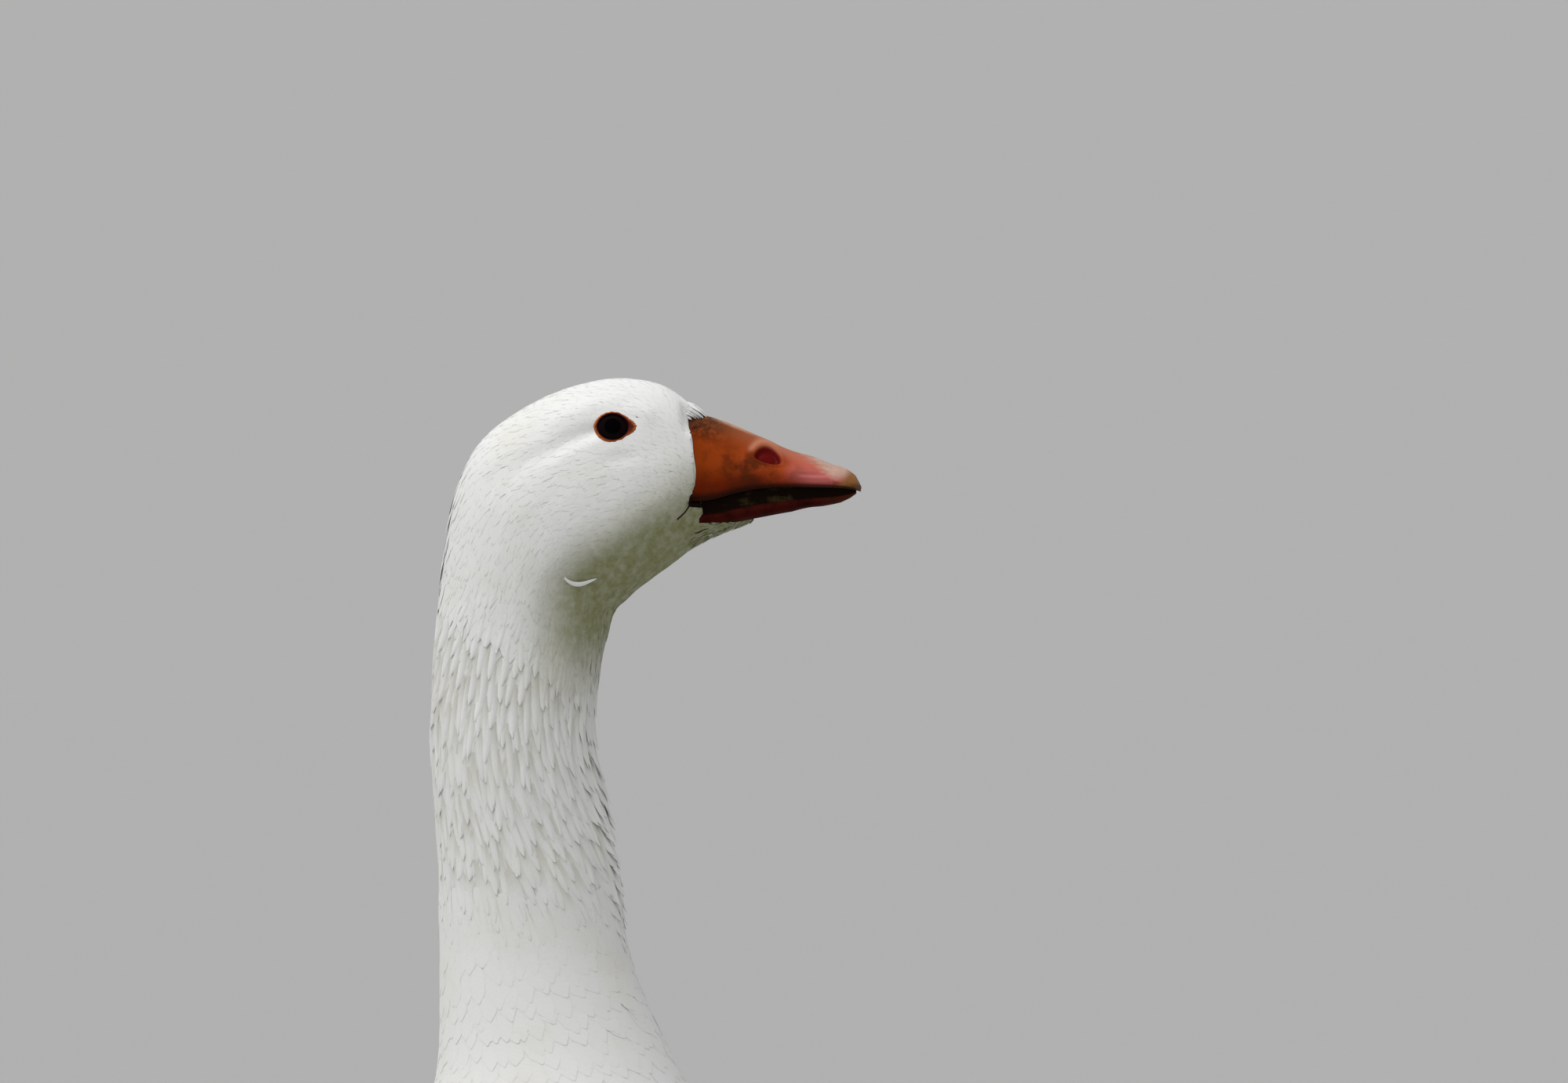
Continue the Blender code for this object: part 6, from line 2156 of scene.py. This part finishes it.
class GOOSE_OT_eyes(bpy.types.Operator):
    """Makes the eyeballs and the bare rings round them"""

    bl_idname = "goose.eyes"
    bl_label = "Eyes"

    def execute(self, context):
        surface = body_surface()
        build_eyes(surface, eye_finish())
        build_lids(surface, lid_finish())
        return {"FINISHED"}


class GOOSE_OT_bill(bpy.types.Operator):
    """Makes the upper bill with its nostrils, the nail and the lower bill"""

    bl_idname = "goose.bill"
    bl_label = "Bill"

    def execute(self, context):
        colours = context.scene.goose_bill
        shades = (colours.base, colours.mid, colours.front, colours.ridge)
        finish = bill_finish(*(tuple(shade) for shade in shades))
        surface = body_surface()
        build_upper_bill(surface, finish, nail_finish(), colours.nostril / MM)
        horn = lower_bill_finish()
        build_lower_bill(horn)
        build_mouth_corners(surface, horn)
        return {"FINISHED"}


class GOOSE_OT_head_coat(bpy.types.Operator):
    """Lays the head's plush and the tufts under the jaw"""

    bl_idname = "goose.head_coat"
    bl_label = "Head coat"

    def execute(self, context):
        sizes = plumage_sizes()
        surface = body_surface()
        batches = head_coat(surface, sizes, rng_for(1)) + chin_coat(rng_for(2))
        batches += head_under_coat(surface, rng_for(11)) + forehead_coat(rng_for(10)) + loose_feather(surface)
        add_coat("head_coat", "plush", batches, "white_plumage")
        return {"FINISHED"}


class GOOSE_OT_neck_coat(bpy.types.Operator):
    """Lays the neck's furrowed coat and the smooth plumage at its root"""

    bl_idname = "goose.neck_coat"
    bl_label = "Neck coat"

    def execute(self, context):
        sizes = plumage_sizes()
        surface = body_surface()
        batches = neck_coat(surface, sizes, rng_for(3)) + neck_under_coat(surface, rng_for(4))
        add_coat("neck_coat", "neck", batches, "white_plumage")
        add_coat("crop_coat", "plush", crop_coat(surface, rng_for(12)), "white_plumage")
        return {"FINISHED"}


class GOOSE_OT_body_coat(bpy.types.Operator):
    """Lays the contour feathers of the trunk and the thighs"""

    bl_idname = "goose.body_coat"
    bl_label = "Body coat"

    def execute(self, context):
        sizes = plumage_sizes()
        add_coat("body_coat", "contour", body_coat(body_surface(), sizes, rng_for(5)), "white_plumage")
        add_coat("thigh_coat", "contour", thigh_coat(rng_for(6)), "white_plumage")
        return {"FINISHED"}


class GOOSE_OT_wings(bpy.types.Operator):
    """Makes the folded wings: their forms, coverts, secondaries, tertials and primaries"""

    bl_idname = "goose.wings"
    bl_label = "Wings"

    def execute(self, context):
        for side in SIDES:
            settle(wing_form(side, down()), "white_plumage", "wing_" + side)
            settle(wing_tip_form(side, down()), "flight_feathers", "wing_tip_" + side)
        add_coat("wing_coat", "flight", wing_coat(rng_for(7)), "flight_feathers")
        add_coat("primaries", "flight", primary_quills(), "flight_feathers")
        return {"FINISHED"}


class GOOSE_OT_tail(bpy.types.Operator):
    """Makes the closed tail with its coverts"""

    bl_idname = "goose.tail"
    bl_label = "Tail"

    def execute(self, context):
        settle(tail_form(down()), "flight_feathers", "tail")
        add_coat("tail_quills", "flight", tail_quills(rng_for(9)), "flight_feathers")
        return {"FINISHED"}


class GOOSE_OT_legs(bpy.types.Operator):
    """Makes the shanks, webbed feet, hind toes and claws"""

    bl_idname = "goose.legs"
    bl_label = "Legs"

    def execute(self, context):
        colours = context.scene.goose_bill
        skin, horn = leg_finish(tuple(colours.legs), tuple(colours.webs)), claw_finish()
        for side in SIDES:
            build_leg(side, skin)
            build_claws(side, horn)
        return {"FINISHED"}


class GOOSE_OT_stage(bpy.types.Operator):
    """Sets the pale floor, the soft lights and the camera"""

    bl_idname = "goose.stage"
    bl_label = "Stage"

    def execute(self, context):
        stage = context.scene.goose_stage
        radius = np.array([0.0, 0.4, 1.0, 3.0, 10.0, 30.0, 60.0])[:, None]
        angle = full_turn(64)[None, :]
        below_soles = -0.0002
        rings = together(radius * np.cos(angle), radius * np.sin(angle), below_soles)
        index = np.arange(radius.size * angle.size).reshape(radius.size, angle.size)
        right = np.roll(index, -1, axis=1)
        quads = np.stack([index[:-1], index[1:], right[1:], right[:-1]], axis=-1).reshape(-1, 4)
        floor = make_object("floor", rings.reshape(-1, 3), quads, studio_finish(tuple(stage.floor)))

        world = bpy.data.worlds.new("Studio")
        world.use_nodes = True
        sky = world.node_tree.nodes["Background"]
        sky.inputs["Color"].default_value = (0.98, 0.99, 1.0, 1.0)
        sky.inputs["Strength"].default_value = stage.sky
        context.scene.world = world

        for name, turn, energy, angle in (
            ("key", (20.0, 0.0, -62.0), stage.sun, 50.0),
            ("side", (52.0, 0.0, -20.0), stage.sun * 0.16, 70.0),
        ):
            lamp = bpy.data.lights.new(name, "SUN")
            lamp.energy = energy
            lamp.angle = math.radians(angle)
            light = bpy.data.objects.new(name, lamp)
            light.rotation_euler = tuple(math.radians(part) for part in turn)
            context.scene.collection.objects.link(light)

        data = bpy.data.cameras.new("camera")
        data.sensor_width = 36.0
        data.lens = 270.0
        data.clip_end = 200.0
        camera = bpy.data.objects.new("camera", data)
        aim = Vector((NECK_X * MM + 0.092, 0.0, 0.6145))
        distance, rise = 4.0, math.radians(5.0)
        camera.location = aim + Vector((0.0, -distance * math.cos(rise), distance * math.sin(rise)))
        camera.rotation_euler = (aim - camera.location).to_track_quat("-Z", "Y").to_euler()
        context.scene.collection.objects.link(camera)
        context.scene.camera = camera
        context.scene.view_settings.view_transform = "Standard"
        return {"FINISHED"}


STEPS = (
    GOOSE_OT_skin,
    GOOSE_OT_eyes,
    GOOSE_OT_bill,
    GOOSE_OT_head_coat,
    GOOSE_OT_neck_coat,
    GOOSE_OT_body_coat,
    GOOSE_OT_wings,
    GOOSE_OT_tail,
    GOOSE_OT_legs,
    GOOSE_OT_stage,
)


class GOOSE_PT_panel(bpy.types.Panel):
    """The goose's parts, sizes and colours"""

    bl_idname = "GOOSE_PT_panel"
    bl_label = "Domestic goose"
    bl_space_type = "VIEW_3D"
    bl_region_type = "UI"
    bl_category = "Goose"

    def draw(self, context):
        layout = self.layout
        for title, settings in (
            ("Plumage", context.scene.goose_plumage),
            ("Bill and legs", context.scene.goose_bill),
            ("Stage", context.scene.goose_stage),
        ):
            box = layout.box()
            box.label(text=title)
            for key in settings.__annotations__:
                box.prop(settings, key)
        for step in STEPS:
            layout.operator(step.bl_idname)


CLASSES = (GoosePlumage, GooseBill, GooseStage, *STEPS, GOOSE_PT_panel)


def register():
    """Adds the add-on's classes and settings to Blender."""
    for made in CLASSES:
        bpy.utils.register_class(made)
    bpy.types.Scene.goose_plumage = PointerProperty(type=GoosePlumage)
    bpy.types.Scene.goose_bill = PointerProperty(type=GooseBill)
    bpy.types.Scene.goose_stage = PointerProperty(type=GooseStage)


def unregister():
    """Takes them away again."""
    del bpy.types.Scene.goose_stage
    del bpy.types.Scene.goose_bill
    del bpy.types.Scene.goose_plumage
    for made in reversed(CLASSES):
        bpy.utils.unregister_class(made)


def main():
    """Runs every step in its order."""
    register()
    for step in STEPS:
        family, name = step.bl_idname.split(".")
        getattr(getattr(bpy.ops, family), name)()


if __name__ == "__main__":
    main()
